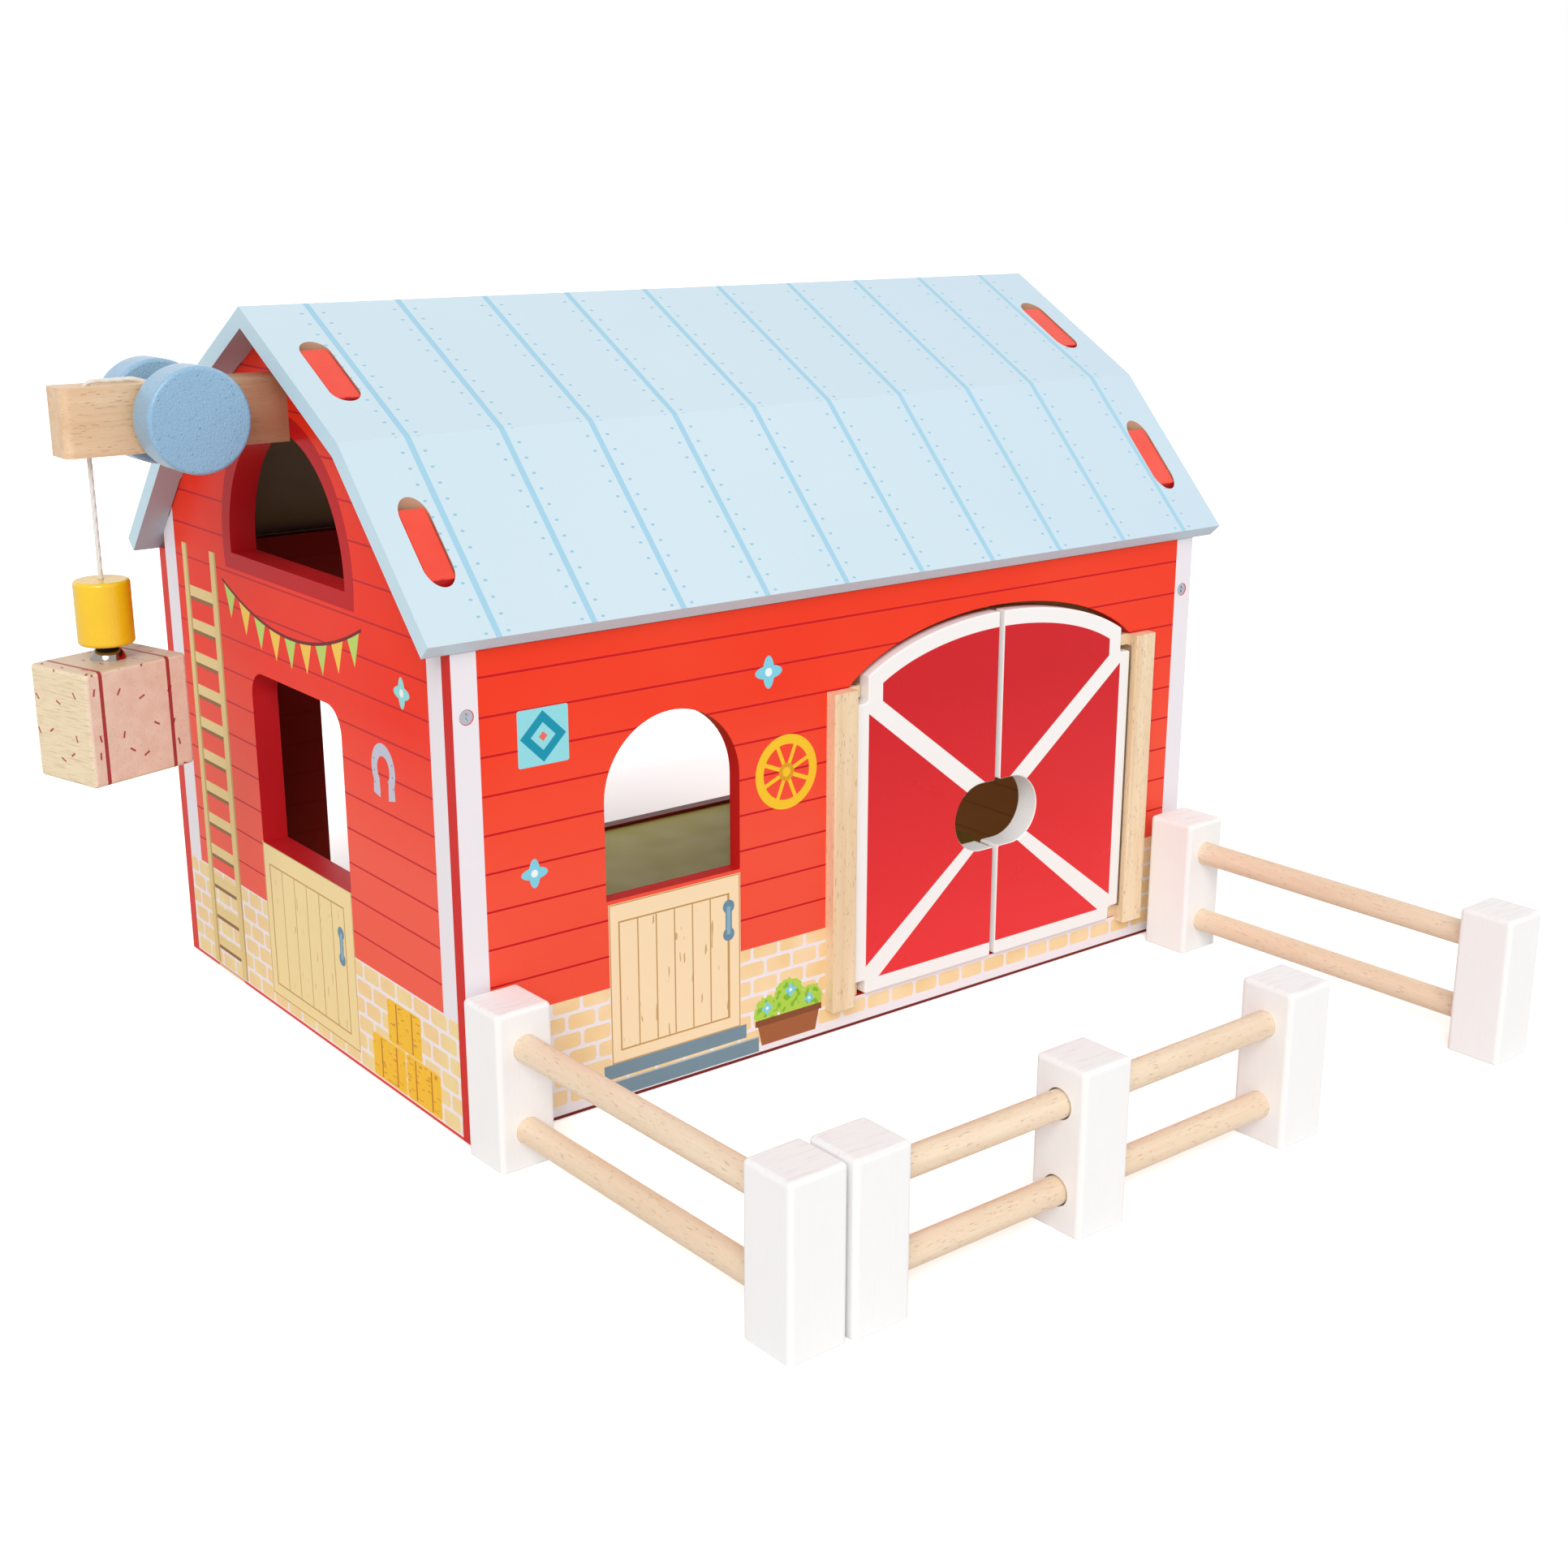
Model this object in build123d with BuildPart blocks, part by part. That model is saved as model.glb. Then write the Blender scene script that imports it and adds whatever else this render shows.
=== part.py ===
from build123d import *
import os
from math import acos, atan2, cos, hypot, pi, radians, sin, sqrt, tan

# Toy barn with a lift-off roof, double doors, a working bale hoist and fence sections.
# Origin: centre of the barn's underside. X runs along the barn, the hoist gable faces -X,
# the double doors face -Y and +Z is up. Millimetres.

# Barn body
barn_length = 410.0
barn_depth = 278.0
wall_height = 201.2
wall_thickness = 7.0
gable_thickness = 12.0
floor_thickness = 6.0

# Roof
eave_clearance = 0.4
eave_overhang = 6.1
gable_overhang = 12.2
roof_thickness = 7.5
upper_board_width = 93.3
upper_pitch = 29.6
lower_pitch = 46.7

# Gable tabs that stand up through slots in the roof boards
tab_inset_upper = 29.1
tab_inset_lower = 22.9
tab_length_upper = 27.0
tab_length_lower = 21.3
tab_sink = 0.6
tab_corner = 5.5
slot_high_gap_upper = 5.5
slot_high_gap_lower = 4.0
slot_low_gap = 3.1
slot_side_clearance = 0.4

# Hoist gable openings. Rises and drops are measured from the tops of the long walls.
loft_half_width = 55.0
loft_sill_rise = 9.8
loft_spring_rise = 13.8
hatch_width = 87.4
hatch_sill_height = 80.0
hatch_head_height = 160.3
hatch_corner = 12.0

# Front window
window_center = -105.2
window_width = 67.5
window_sill_height = 88.6
window_spring_height = 130.0

# Play opening in the back wall
rear_opening_width = 263.4
rear_sill_height = 16.3
rear_head_drop = 16.2
rear_corner = 12.0

# Doorway
door_center = 75.5
doorway_sill_height = 13.8
arch_top_drop = 17.2
arch_half_width = 100.0
arch_rise = 48.0

# Door leaves, each of two boards glued face to face
leaf_layer = 6.25
leaf_proud = 3.0
leaf_body_width = 77.5
leaf_foot_gap = 1.2
leaf_arch_gap = 2.5
leaf_ease = 0.8
meeting_gap = 3.0
tongue_width = 6.5
tongue_bottom_gap = 1.7
tongue_top_gap = 2.2
notch_fillet = 1.5
leaf_corner = 1.0
finger_hole_width = 51.4
finger_hole_height = 32.4
finger_hole_level = 85.5

# Door jambs with pivot ears. The jamb's top is measured from the arch's spring line.
jamb_width = 13.0
jamb_proud = 6.0
jamb_rebate = 6.0
jamb_foot_height = 12.0
jamb_top_rise = 22.5
jamb_ease = 0.8
jamb_tongue_gap = 1.5
ear_radius = 2.5
ear_clearance = 0.4
ear_height_bottom = 6.0
ear_height_top = 5.3
swing_clearance = 0.4

# Door pins
pin_radius = 1.0
pin_running_clearance = 0.06
pin_press = 0.01
pin_grip = 12.0
pin_end_gap = 0.5

# Wall screws
screw_shank_radius = 1.5
screw_head_radius = 3.2
screw_head_sink = 0.4
screw_head_angle = 82.0
screw_thread_clearance = 0.02
screw_length = 28.0
screw_cross_length = 3.2
screw_cross_width = 0.9
screw_cross_depth = 1.0
screw_low_height = 30.0
screw_high_drop = 25.5

# Hoist beam
beam_center_y = -4.3
beam_ridge_gap = 18.21
beam_width = 18.4
beam_height = 26.6
beam_reach = 91.4
beam_corner = 3.6
beam_screw_length = 36.0
beam_screw_level = 15.0
winding_slot_length = 18.0
winding_slot_width = 10.5
winding_slot_corner = 2.0

# Windlass
windlass_reach = 44.9
windlass_level = 13.2
knob_radius = 20.9
knob_thickness = 17.0
knob_beam_gap = 2.6
knob_ease = 1.6
axle_radius = 5.0
axle_running_clearance = 0.06
axle_seat_depth = 10.0
axle_seat_clearance = 0.02

# Hoist cord
cord_radius = 1.0
cord_turns = 4
cord_hole_radius = 1.6
cord_hole_reach = 79.5
cord_edge_round = 2.0
cord_clearance = 0.1
winding_clearance = 0.3
cord_drop_length = 48.8

# Magnet, its holder and the bale
holder_radius = 11.0
holder_height = 25.8
holder_ease = 1.5
holder_cord_bore = 1.2
knot_radius = 2.2
knot_bore_radius = 2.6
knot_bore_depth = 9.0
magnet_radius = 7.0
magnet_thickness = 4.0
magnet_clearance = 0.05
magnet_gap = 0.1
stud_radius = 7.0
stud_height = 5.9
stud_shank_radius = 1.6
stud_shank_depth = 14.0
bale_length = 48.0
bale_width = 35.2
bale_height = 46.0
bale_turn = 16.2
bale_ease = 1.6

# Fences
post_size = 25.0
post_height = 66.0
post_corner = 2.2
post_top_ease = 2.0
rail_radius = 5.5
rail_low_height = 15.3
rail_high_height = 50.0
rail_seat_depth = 12.0
rail_seat_clearance = 0.05
rail_end_gap = 0.3
side_post_spacing = 173.0
left_fence_inset = 9.2
left_fence_distance = 15.7
left_fence_turn = 1.76
right_fence_inset = 15.1
right_fence_distance = 19.7
right_fence_turn = 2.2
middle_fence_inset = 41.4
middle_fence_distance = 189.5
middle_fence_turn = 0.69
middle_post_spacing = 222.8
sliding_post_offset = 107.1
sliding_post_clearance = 0.65

os.makedirs("parts", exist_ok=True)

# Faces and lines that several pieces share
front_y = -barn_depth / 2
gable_x = barn_length / 2
gable_middle = gable_x - gable_thickness / 2
gable_half_depth = barn_depth / 2 - wall_thickness
loft_sill_z = wall_height + loft_sill_rise
loft_spring_z = wall_height + loft_spring_rise
rear_head_z = wall_height - rear_head_drop
arch_top_z = wall_height - arch_top_drop
arch_spring_z = arch_top_z - arch_rise
jamb_top_z = arch_spring_z + jamb_top_rise
screw_high_z = wall_height - screw_high_drop
roof_length = barn_length + 2 * gable_overhang
eave_y = barn_depth / 2 + eave_overhang
eave_z = (
    wall_height
    + eave_clearance
    + roof_thickness / cos(radians(lower_pitch))
    - eave_overhang * tan(radians(lower_pitch))
)
bend_y = upper_board_width * cos(radians(upper_pitch))
bend_z = eave_z + (eave_y - bend_y) * tan(radians(lower_pitch))
ridge_z = bend_z + upper_board_width * sin(radians(upper_pitch))
sky_z = ridge_z + roof_thickness


def roof_profile(sink):
    """Ridge, bend and eave of half the roof, at a depth under its outer faces."""
    upper = Vector(sin(radians(upper_pitch)), cos(radians(upper_pitch)))
    lower = Vector(sin(radians(lower_pitch)), cos(radians(lower_pitch)))
    mitre = (upper + lower) * (sink / (1 + upper.dot(lower)))
    return (
        (0, ridge_z - sink / upper.Y),
        (bend_y - mitre.X, bend_z - mitre.Y),
        (eave_y - sink * lower.X, eave_z - sink * lower.Y),
    )


ridge_under, bend_under, eave_under = roof_profile(roof_thickness)
shoulder_z = bend_under[1] - (gable_half_depth - bend_under[0]) * tan(radians(lower_pitch))
upper_tab = (tab_inset_upper, tab_inset_upper + tab_length_upper)
lower_tab = (bend_y + tab_inset_lower, bend_y + tab_inset_lower + tab_length_lower)
upper_slot = (upper_tab[0] - slot_high_gap_upper, upper_tab[1] + slot_low_gap)
lower_slot = (lower_tab[0] - slot_high_gap_lower, lower_tab[1] + slot_low_gap)


def arched_opening(center, half_width, sill, spring):
    """Upright opening with a half-round head."""
    with BuildSketch() as opening:
        with BuildLine():
            sides = Polyline(
                (center + half_width, spring),
                (center + half_width, sill),
                (center - half_width, sill),
                (center - half_width, spring),
            )
            ThreePointArc(sides @ 1, (center, spring + half_width), sides @ 0)
        make_face()
    return opening.sketch


def rounded_opening(width, sill, head, corner):
    """Upright opening with its two upper corners rounded."""
    with BuildSketch() as opening:
        with BuildLine():
            sides = Polyline(
                (-width / 2, head - corner),
                (-width / 2, sill),
                (width / 2, sill),
                (width / 2, head - corner),
            )
            right = JernArc(sides @ 1, (0, 1), corner, 90)
            top = Line(right @ 1, (corner - width / 2, head))
            JernArc(top @ 1, (-1, 0), corner, 90)
        make_face()
    return opening.sketch


def gable_outline():
    """Gable between the long walls, up to the underside of the roof boards."""
    with BuildSketch() as outline:
        with BuildLine():
            Polyline(
                (-gable_half_depth, 0),
                (gable_half_depth, 0),
                (gable_half_depth, shoulder_z),
                bend_under,
                ridge_under,
                (-bend_under[0], bend_under[1]),
                (-gable_half_depth, shoulder_z),
                close=True,
            )
        make_face()
    return outline.sketch


def tab_pair_plan(middle, tab):
    """The front and the back tab of one gable at one level of the roof, from above."""
    inner, outer = tab
    with BuildSketch() as plan:
        for side in (-1, 1):
            with Locations((middle, side * (inner + outer) / 2)):
                RectangleRounded(gable_thickness, outer - inner, tab_corner)
    return plan.sketch


def sky_outline():
    """Everything above the level at which the tabs are cut off."""
    ridge, bend, eave = roof_profile(tab_sink)
    with BuildSketch() as outline:
        with BuildLine():
            Polyline(
                (-eave[0], sky_z),
                (-eave[0], eave[1]),
                (-bend[0], bend[1]),
                ridge,
                bend,
                eave,
                (eave[0], sky_z),
                close=True,
            )
        make_face()
    return outline.sketch


# Where the wall screws enter: outer face, height and side of each
front_screw_planes = [
    Plane(origin=(x, front_y, z), z_dir=(0, -1, 0))
    for x in (-gable_middle, gable_middle)
    for z in (screw_low_height, screw_high_z)
]
back_screw_planes = [
    Plane(origin=(x, -front_y, z), z_dir=(0, 1, 0))
    for x in (-gable_middle, gable_middle)
    for z in (screw_low_height, screw_high_z)
]
beam_top_z = ridge_under[1] - beam_ridge_gap
beam_bottom_z = beam_top_z - beam_height
beam_screw_z = beam_bottom_z + beam_screw_level
beam_screw_plane = Plane(
    origin=(gable_thickness - gable_x, beam_center_y, beam_screw_z),
    z_dir=(1, 0, 0),
)
shank_hole_radius = screw_shank_radius + screw_thread_clearance

# Floor board between the four walls
with BuildPart() as base_floor:
    with BuildSketch():
        Rectangle(barn_length - 2 * gable_thickness, 2 * gable_half_depth)
    extrude(amount=floor_thickness)
base_floor.part.label = "base_floor"
export_step(base_floor.part, "parts/base_floor.step")

# Hoist gable, with the loft window and the hatch over the printed half door
with BuildPart() as left_gable:
    with BuildSketch(Plane.YZ.offset(-gable_x)):
        add(gable_outline())
        add(
            arched_opening(0, loft_half_width, loft_sill_z, loft_spring_z),
            mode=Mode.SUBTRACT,
        )
        add(
            rounded_opening(hatch_width, hatch_sill_height, hatch_head_height, hatch_corner),
            mode=Mode.SUBTRACT,
        )
    extrude(amount=gable_thickness)
    for tab, root_z in ((upper_tab, bend_under[1]), (lower_tab, shoulder_z)):
        with BuildSketch(Plane.XY.offset(root_z)):
            add(tab_pair_plan(-gable_middle, tab))
        extrude(amount=sky_z - root_z)
    with BuildSketch(Plane.YZ.offset(-gable_x)):
        add(sky_outline())
    extrude(amount=gable_thickness, mode=Mode.SUBTRACT)
    with Locations(*front_screw_planes[:2], *back_screw_planes[:2]):
        Hole(shank_hole_radius, depth=screw_length)
    with Locations(beam_screw_plane):
        CounterSinkHole(shank_hole_radius, screw_head_radius, gable_thickness, screw_head_angle)
left_gable.part.label = "left_gable"
export_step(left_gable.part, "parts/left_gable.step")

# Plain gable at the other end
with BuildPart() as right_gable:
    with BuildSketch(Plane.YZ.offset(gable_x - gable_thickness)):
        add(gable_outline())
    extrude(amount=gable_thickness)
    for tab, root_z in ((upper_tab, bend_under[1]), (lower_tab, shoulder_z)):
        with BuildSketch(Plane.XY.offset(root_z)):
            add(tab_pair_plan(gable_middle, tab))
        extrude(amount=sky_z - root_z)
    with BuildSketch(Plane.YZ.offset(gable_x - gable_thickness)):
        add(sky_outline())
    extrude(amount=gable_thickness, mode=Mode.SUBTRACT)
    with Locations(*front_screw_planes[2:], *back_screw_planes[2:]):
        Hole(shank_hole_radius, depth=screw_length)
right_gable.part.label = "right_gable"
export_step(right_gable.part, "parts/right_gable.step")

# Doorway and leaf lines. Distances named _out are measured from the middle of the doorway.
leaf_out = meeting_gap / 2 + leaf_body_width
tongue_out = leaf_out + tongue_width
jamb_out = tongue_out + jamb_tongue_gap
doorway_out = jamb_out + jamb_rebate
hinge_out = leaf_out + ear_clearance + ear_radius
hinge_y = front_y - leaf_proud + leaf_layer
ear_top_z = jamb_top_z - ear_height_top
ear_bottom_z = doorway_sill_height + ear_height_bottom
tongue_bottom_z = ear_bottom_z + tongue_bottom_gap
tongue_top_z = ear_top_z - tongue_top_gap
leaf_foot_z = doorway_sill_height + leaf_foot_gap
cove_radius = hypot(tongue_out - hinge_out, leaf_layer) + swing_clearance

def arch_field(drop):
    """Space under the doorway arch, lowered by a gap, down to the sill."""
    spring = arch_spring_z - drop
    with BuildSketch() as field:
        with Locations((door_center, spring)):
            Ellipse(arch_half_width, arch_rise)
        with Locations((door_center, (doorway_sill_height + spring) / 2)):
            Rectangle(2 * arch_half_width, spring - doorway_sill_height)
    return field.sketch


def doorway_outline():
    """Doorway in the front wall, with room at each side for a jamb's rebate."""
    with BuildSketch() as outline:
        add(arch_field(0))
        with Locations((door_center, (doorway_sill_height + arch_top_z) / 2)):
            Rectangle(2 * doorway_out, arch_top_z - doorway_sill_height, mode=Mode.INTERSECT)
    return outline.sketch


def leaf_outline(side):
    """One leaf: arched body, hinge tongue, notched corners and half of the finger hole."""
    body_middle = door_center + side * (meeting_gap / 2 + leaf_body_width / 2)
    tongue_middle = door_center + side * (leaf_out + tongue_width / 2)
    with BuildSketch() as outline:
        add(arch_field(leaf_arch_gap))
        with Locations((body_middle, (leaf_foot_z + arch_top_z) / 2)):
            Rectangle(leaf_body_width, arch_top_z - leaf_foot_z, mode=Mode.INTERSECT)
        with Locations((tongue_middle, (tongue_bottom_z + tongue_top_z) / 2)):
            Rectangle(tongue_width, tongue_top_z - tongue_bottom_z)
        with Locations((door_center, finger_hole_level)):
            SlotOverall(finger_hole_width, finger_hole_height, mode=Mode.SUBTRACT)
        tongue_line = door_center + side * leaf_out

        def is_notch(corner):
            level_gap = min(abs(corner.Y - tongue_bottom_z), abs(corner.Y - tongue_top_z))
            return abs(corner.X - tongue_line) < 0.01 and level_gap < 0.01

        fillet(outline.vertices().filter_by(is_notch, reverse=True), leaf_corner)
        fillet(outline.vertices().filter_by(is_notch), notch_fillet)
    return outline.sketch


# Front wall, with one arched window and the wide arched doorway
with BuildPart() as front_wall:
    with BuildSketch(Plane.XZ.offset(-front_y)):
        with Locations((0, wall_height / 2)):
            Rectangle(barn_length, wall_height)
        add(
            arched_opening(
                window_center, window_width / 2, window_sill_height, window_spring_height
            ),
            mode=Mode.SUBTRACT,
        )
        add(doorway_outline(), mode=Mode.SUBTRACT)
    extrude(amount=-wall_thickness)
    with Locations(*front_screw_planes):
        CounterSinkHole(shank_hole_radius, screw_head_radius, wall_thickness, screw_head_angle)
front_wall.part.label = "front_wall"
export_step(front_wall.part, "parts/front_wall.step")

# Back wall, open to the play space over a low sill
with BuildPart() as back_wall:
    with BuildSketch(Plane.XZ.offset(front_y)):
        with Locations((0, wall_height / 2)):
            Rectangle(barn_length, wall_height)
        add(
            rounded_opening(rear_opening_width, rear_sill_height, rear_head_z, rear_corner),
            mode=Mode.SUBTRACT,
        )
    extrude(amount=wall_thickness)
    with Locations(*back_screw_planes):
        CounterSinkHole(shank_hole_radius, screw_head_radius, wall_thickness, screw_head_angle)
back_wall.part.label = "back_wall"
export_step(back_wall.part, "parts/back_wall.step")


def screw_profile(length):
    """Half section of a countersunk screw, seated below the local Z = 0 plane."""
    slope = tan(radians(screw_head_angle / 2))
    with BuildSketch(Plane.XZ) as profile:
        with BuildLine():
            Polyline(
                (0, -screw_head_sink),
                (screw_head_radius - screw_head_sink * slope, -screw_head_sink),
                (screw_shank_radius, (screw_shank_radius - screw_head_radius) / slope),
                (screw_shank_radius, screw_shank_radius - length),
                (0, -length),
                close=True,
            )
        make_face()
    return profile.sketch


def screw_cross():
    """Cross recess in a screw's head, seen from above it."""
    with BuildSketch(Plane.XY.offset(-screw_head_sink)) as cross:
        Rectangle(screw_cross_length, screw_cross_width)
        Rectangle(screw_cross_width, screw_cross_length)
    return cross.sketch


# Screws that hold the long walls to the gables
for number, plane in enumerate(front_screw_planes + back_screw_planes, start=1):
    with BuildPart() as wall_screw:
        add(screw_profile(screw_length))
        revolve(axis=Axis.Z)
        add(screw_cross())
        extrude(amount=-screw_cross_depth, mode=Mode.SUBTRACT)
    wall_screw.part.label = f"wall_screw_{number}"
    placed_screw = wall_screw.part.moved(plane.location)
    placed_screw.label = f"wall_screw_{number}"
    export_step(placed_screw, f"parts/wall_screw_{number}.step")

# Screw from inside the gable into the end of the hoist beam
with BuildPart() as beam_screw:
    add(screw_profile(beam_screw_length))
    revolve(axis=Axis.Z)
    add(screw_cross())
    extrude(amount=-screw_cross_depth, mode=Mode.SUBTRACT)
placed_beam_screw = beam_screw.part.moved(beam_screw_plane.location)
placed_beam_screw.label = "beam_screw"
export_step(placed_beam_screw, "parts/beam_screw.step")

# Natural wood jambs: a flange in front of the wall, a rebate in the doorway, a pivot ear
# at each end and a cove between the ears in which the leaf's tongue turns.
for side, name in ((-1, "left"), (1, "right")):
    hinge_x = door_center + side * hinge_out
    face_x = door_center + side * jamb_out
    rebate_middle = door_center + side * (jamb_out + jamb_rebate / 2)
    with BuildPart() as jamb:
        with BuildSketch(Plane.XY.offset(jamb_foot_height)):
            with Locations((face_x + side * jamb_width / 2, front_y - jamb_proud / 2)):
                Rectangle(jamb_width, jamb_proud)
        extrude(amount=jamb_top_z - jamb_foot_height)
        front_edges = jamb.edges().filter_by(Axis.Z).group_by(Axis.Y)[0]
        fillet(front_edges, jamb_ease)
        with BuildSketch(Plane.XZ.offset(-front_y)):
            add(doorway_outline())
            with Locations((rebate_middle, (doorway_sill_height + jamb_top_z) / 2)):
                Rectangle(jamb_rebate, jamb_top_z - doorway_sill_height, mode=Mode.INTERSECT)
        extrude(amount=-wall_thickness)
        with BuildSketch(Plane.XY.offset(doorway_sill_height)):
            with Locations((hinge_x, hinge_y)):
                Circle(ear_radius)
            with Locations(((hinge_x + face_x) / 2, hinge_y)):
                Rectangle(jamb_out - hinge_out, 2 * ear_radius)
        extrude(amount=jamb_top_z - doorway_sill_height)
        with BuildSketch(Plane.XY.offset(ear_bottom_z)):
            with Locations((hinge_x, hinge_y)):
                Circle(cove_radius)
        extrude(amount=ear_top_z - ear_bottom_z, mode=Mode.SUBTRACT)
        with BuildSketch(Plane.XY.offset(doorway_sill_height)):
            with Locations((hinge_x, hinge_y)):
                Circle(pin_radius + pin_press)
        extrude(amount=jamb_top_z - doorway_sill_height, mode=Mode.SUBTRACT)
    jamb.part.label = f"door_jamb_{name}"
    export_step(jamb.part, f"parts/door_jamb_{name}.step")

    # Steel pins, pressed in the ears and free to turn in the leaf
    with BuildPart() as lower_pin:
        with BuildSketch(Plane.XY.offset(doorway_sill_height)):
            with Locations((hinge_x, hinge_y)):
                Circle(pin_radius)
        extrude(amount=tongue_bottom_z + pin_grip - pin_end_gap - doorway_sill_height)
    lower_pin.part.label = f"door_pin_{name}_lower"
    export_step(lower_pin.part, f"parts/door_pin_{name}_lower.step")
    with BuildPart() as upper_pin:
        with BuildSketch(Plane.XY.offset(tongue_top_z - pin_grip + pin_end_gap)):
            with Locations((hinge_x, hinge_y)):
                Circle(pin_radius)
        extrude(amount=jamb_top_z - tongue_top_z + pin_grip - pin_end_gap)
    upper_pin.part.label = f"door_pin_{name}_upper"
    export_step(upper_pin.part, f"parts/door_pin_{name}_upper.step")

    # The two glued boards of the leaf, with the pin bores on the glue line
    for layer, face_y, growth in (
        ("front", front_y - leaf_proud, -1),
        ("back", front_y - leaf_proud + 2 * leaf_layer, 1),
    ):
        with BuildPart() as leaf_board:
            with BuildSketch(Plane.XZ.offset(-face_y)):
                add(leaf_outline(side))
            extrude(amount=growth * leaf_layer)
            open_face = leaf_board.faces().sort_by(Axis.Y)[0 if layer == "front" else -1]
            fillet(open_face.outer_wire().edges(), leaf_ease)
            with BuildSketch(Plane.XY.offset(tongue_bottom_z)):
                with Locations((hinge_x, hinge_y)):
                    Circle(pin_radius + pin_running_clearance)
            extrude(amount=pin_grip, mode=Mode.SUBTRACT)
            with BuildSketch(Plane.XY.offset(tongue_top_z)):
                with Locations((hinge_x, hinge_y)):
                    Circle(pin_radius + pin_running_clearance)
            extrude(amount=-pin_grip, mode=Mode.SUBTRACT)
        leaf_board.part.label = f"door_{name}_{layer}_board"
        export_step(leaf_board.part, f"parts/door_{name}_{layer}_board.step")

# Roof: four mitred boards, slotted over the gable tabs
outer_ridge, outer_bend, outer_eave = roof_profile(0)
for side, face in ((-1, "front"), (1, "back")):
    with BuildPart() as upper_board:
        with BuildSketch(Plane.YZ.offset(-roof_length / 2)):
            with BuildLine():
                Polyline(
                    outer_ridge,
                    (side * outer_bend[0], outer_bend[1]),
                    (side * bend_under[0], bend_under[1]),
                    ridge_under,
                    close=True,
                )
            make_face()
        extrude(amount=roof_length)
        with BuildSketch(Plane.XY.offset(wall_height)):
            with Locations(
                (-gable_middle, side * (upper_slot[0] + upper_slot[1]) / 2),
                (gable_middle, side * (upper_slot[0] + upper_slot[1]) / 2),
            ):
                SlotOverall(
                    upper_slot[1] - upper_slot[0],
                    gable_thickness + 2 * slot_side_clearance,
                    rotation=90,
                )
        extrude(amount=sky_z - wall_height, mode=Mode.SUBTRACT)
    upper_board.part.label = f"roof_{face}_upper"
    export_step(upper_board.part, f"parts/roof_{face}_upper.step")
    with BuildPart() as lower_board:
        with BuildSketch(Plane.YZ.offset(-roof_length / 2)):
            with BuildLine():
                Polyline(
                    (side * outer_bend[0], outer_bend[1]),
                    (side * outer_eave[0], outer_eave[1]),
                    (side * eave_under[0], eave_under[1]),
                    (side * bend_under[0], bend_under[1]),
                    close=True,
                )
            make_face()
        extrude(amount=roof_length)
        with BuildSketch(Plane.XY.offset(wall_height)):
            with Locations(
                (-gable_middle, side * (lower_slot[0] + lower_slot[1]) / 2),
                (gable_middle, side * (lower_slot[0] + lower_slot[1]) / 2),
            ):
                SlotOverall(
                    lower_slot[1] - lower_slot[0],
                    gable_thickness + 2 * slot_side_clearance,
                    rotation=90,
                )
        extrude(amount=sky_z - wall_height, mode=Mode.SUBTRACT)
    lower_board.part.label = f"roof_{face}_lower"
    export_step(lower_board.part, f"parts/roof_{face}_lower.step")

# Hoist beam, slotted for the winding, bored for the axle and the cord
windlass_x = -gable_x - windlass_reach
windlass_z = beam_bottom_z + windlass_level
cord_x = -gable_x - cord_hole_reach
with BuildPart() as hoist_beam:
    with BuildSketch(Plane.YZ.offset(-gable_x)):
        with Locations((beam_center_y, (beam_bottom_z + beam_top_z) / 2)):
            Rectangle(beam_width, beam_height)
    extrude(amount=-beam_reach)
    fillet(hoist_beam.edges().filter_by(Axis.Z).group_by(Axis.X)[0], beam_corner)
    with BuildSketch(Plane.XY.offset(beam_top_z)):
        with Locations((windlass_x, beam_center_y)):
            RectangleRounded(winding_slot_length, winding_slot_width, winding_slot_corner)
        with Locations((cord_x, beam_center_y)):
            Circle(cord_hole_radius)
    extrude(amount=-beam_height, mode=Mode.SUBTRACT)
    beam_top = hoist_beam.faces().sort_by(Axis.Z)[-1]
    fillet([edge for rim in beam_top.inner_wires() for edge in rim.edges()], cord_edge_round)
    with BuildSketch(Plane.XZ.offset(beam_width / 2 - beam_center_y)):
        with Locations((windlass_x, windlass_z)):
            Circle(axle_radius + axle_running_clearance)
    extrude(amount=-beam_width, mode=Mode.SUBTRACT)
    with BuildSketch(Plane.YZ.offset(-gable_x)):
        with Locations((beam_center_y, beam_screw_z)):
            Circle(shank_hole_radius)
    extrude(amount=gable_thickness - beam_screw_length, mode=Mode.SUBTRACT)
hoist_beam.part.label = "hoist_beam"
export_step(hoist_beam.part, "parts/hoist_beam.step")

# Windlass knobs on the two ends of the axle
knob_face = beam_width / 2 + knob_beam_gap
for side, name in ((-1, "front"), (1, "back")):
    with BuildPart() as knob:
        with BuildSketch(Plane.XZ.offset(-beam_center_y - side * knob_face)):
            with Locations((windlass_x, windlass_z)):
                Circle(knob_radius)
        extrude(amount=-side * knob_thickness)
        fillet(knob.edges().filter_by(GeomType.CIRCLE), knob_ease)
        with BuildSketch(Plane.XZ.offset(-beam_center_y - side * knob_face)):
            with Locations((windlass_x, windlass_z)):
                Circle(axle_radius + axle_seat_clearance)
        extrude(amount=-side * axle_seat_depth, mode=Mode.SUBTRACT)
    knob.part.label = f"knob_{name}"
    export_step(knob.part, f"parts/knob_{name}.step")

with BuildPart() as hoist_axle:
    with BuildSketch(Plane.XZ.offset(knob_face + axle_seat_depth - beam_center_y)):
        with Locations((windlass_x, windlass_z)):
            Circle(axle_radius)
    extrude(amount=-2 * (knob_face + axle_seat_depth))
hoist_axle.part.label = "hoist_axle"
export_step(hoist_axle.part, "parts/hoist_axle.step")

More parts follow.
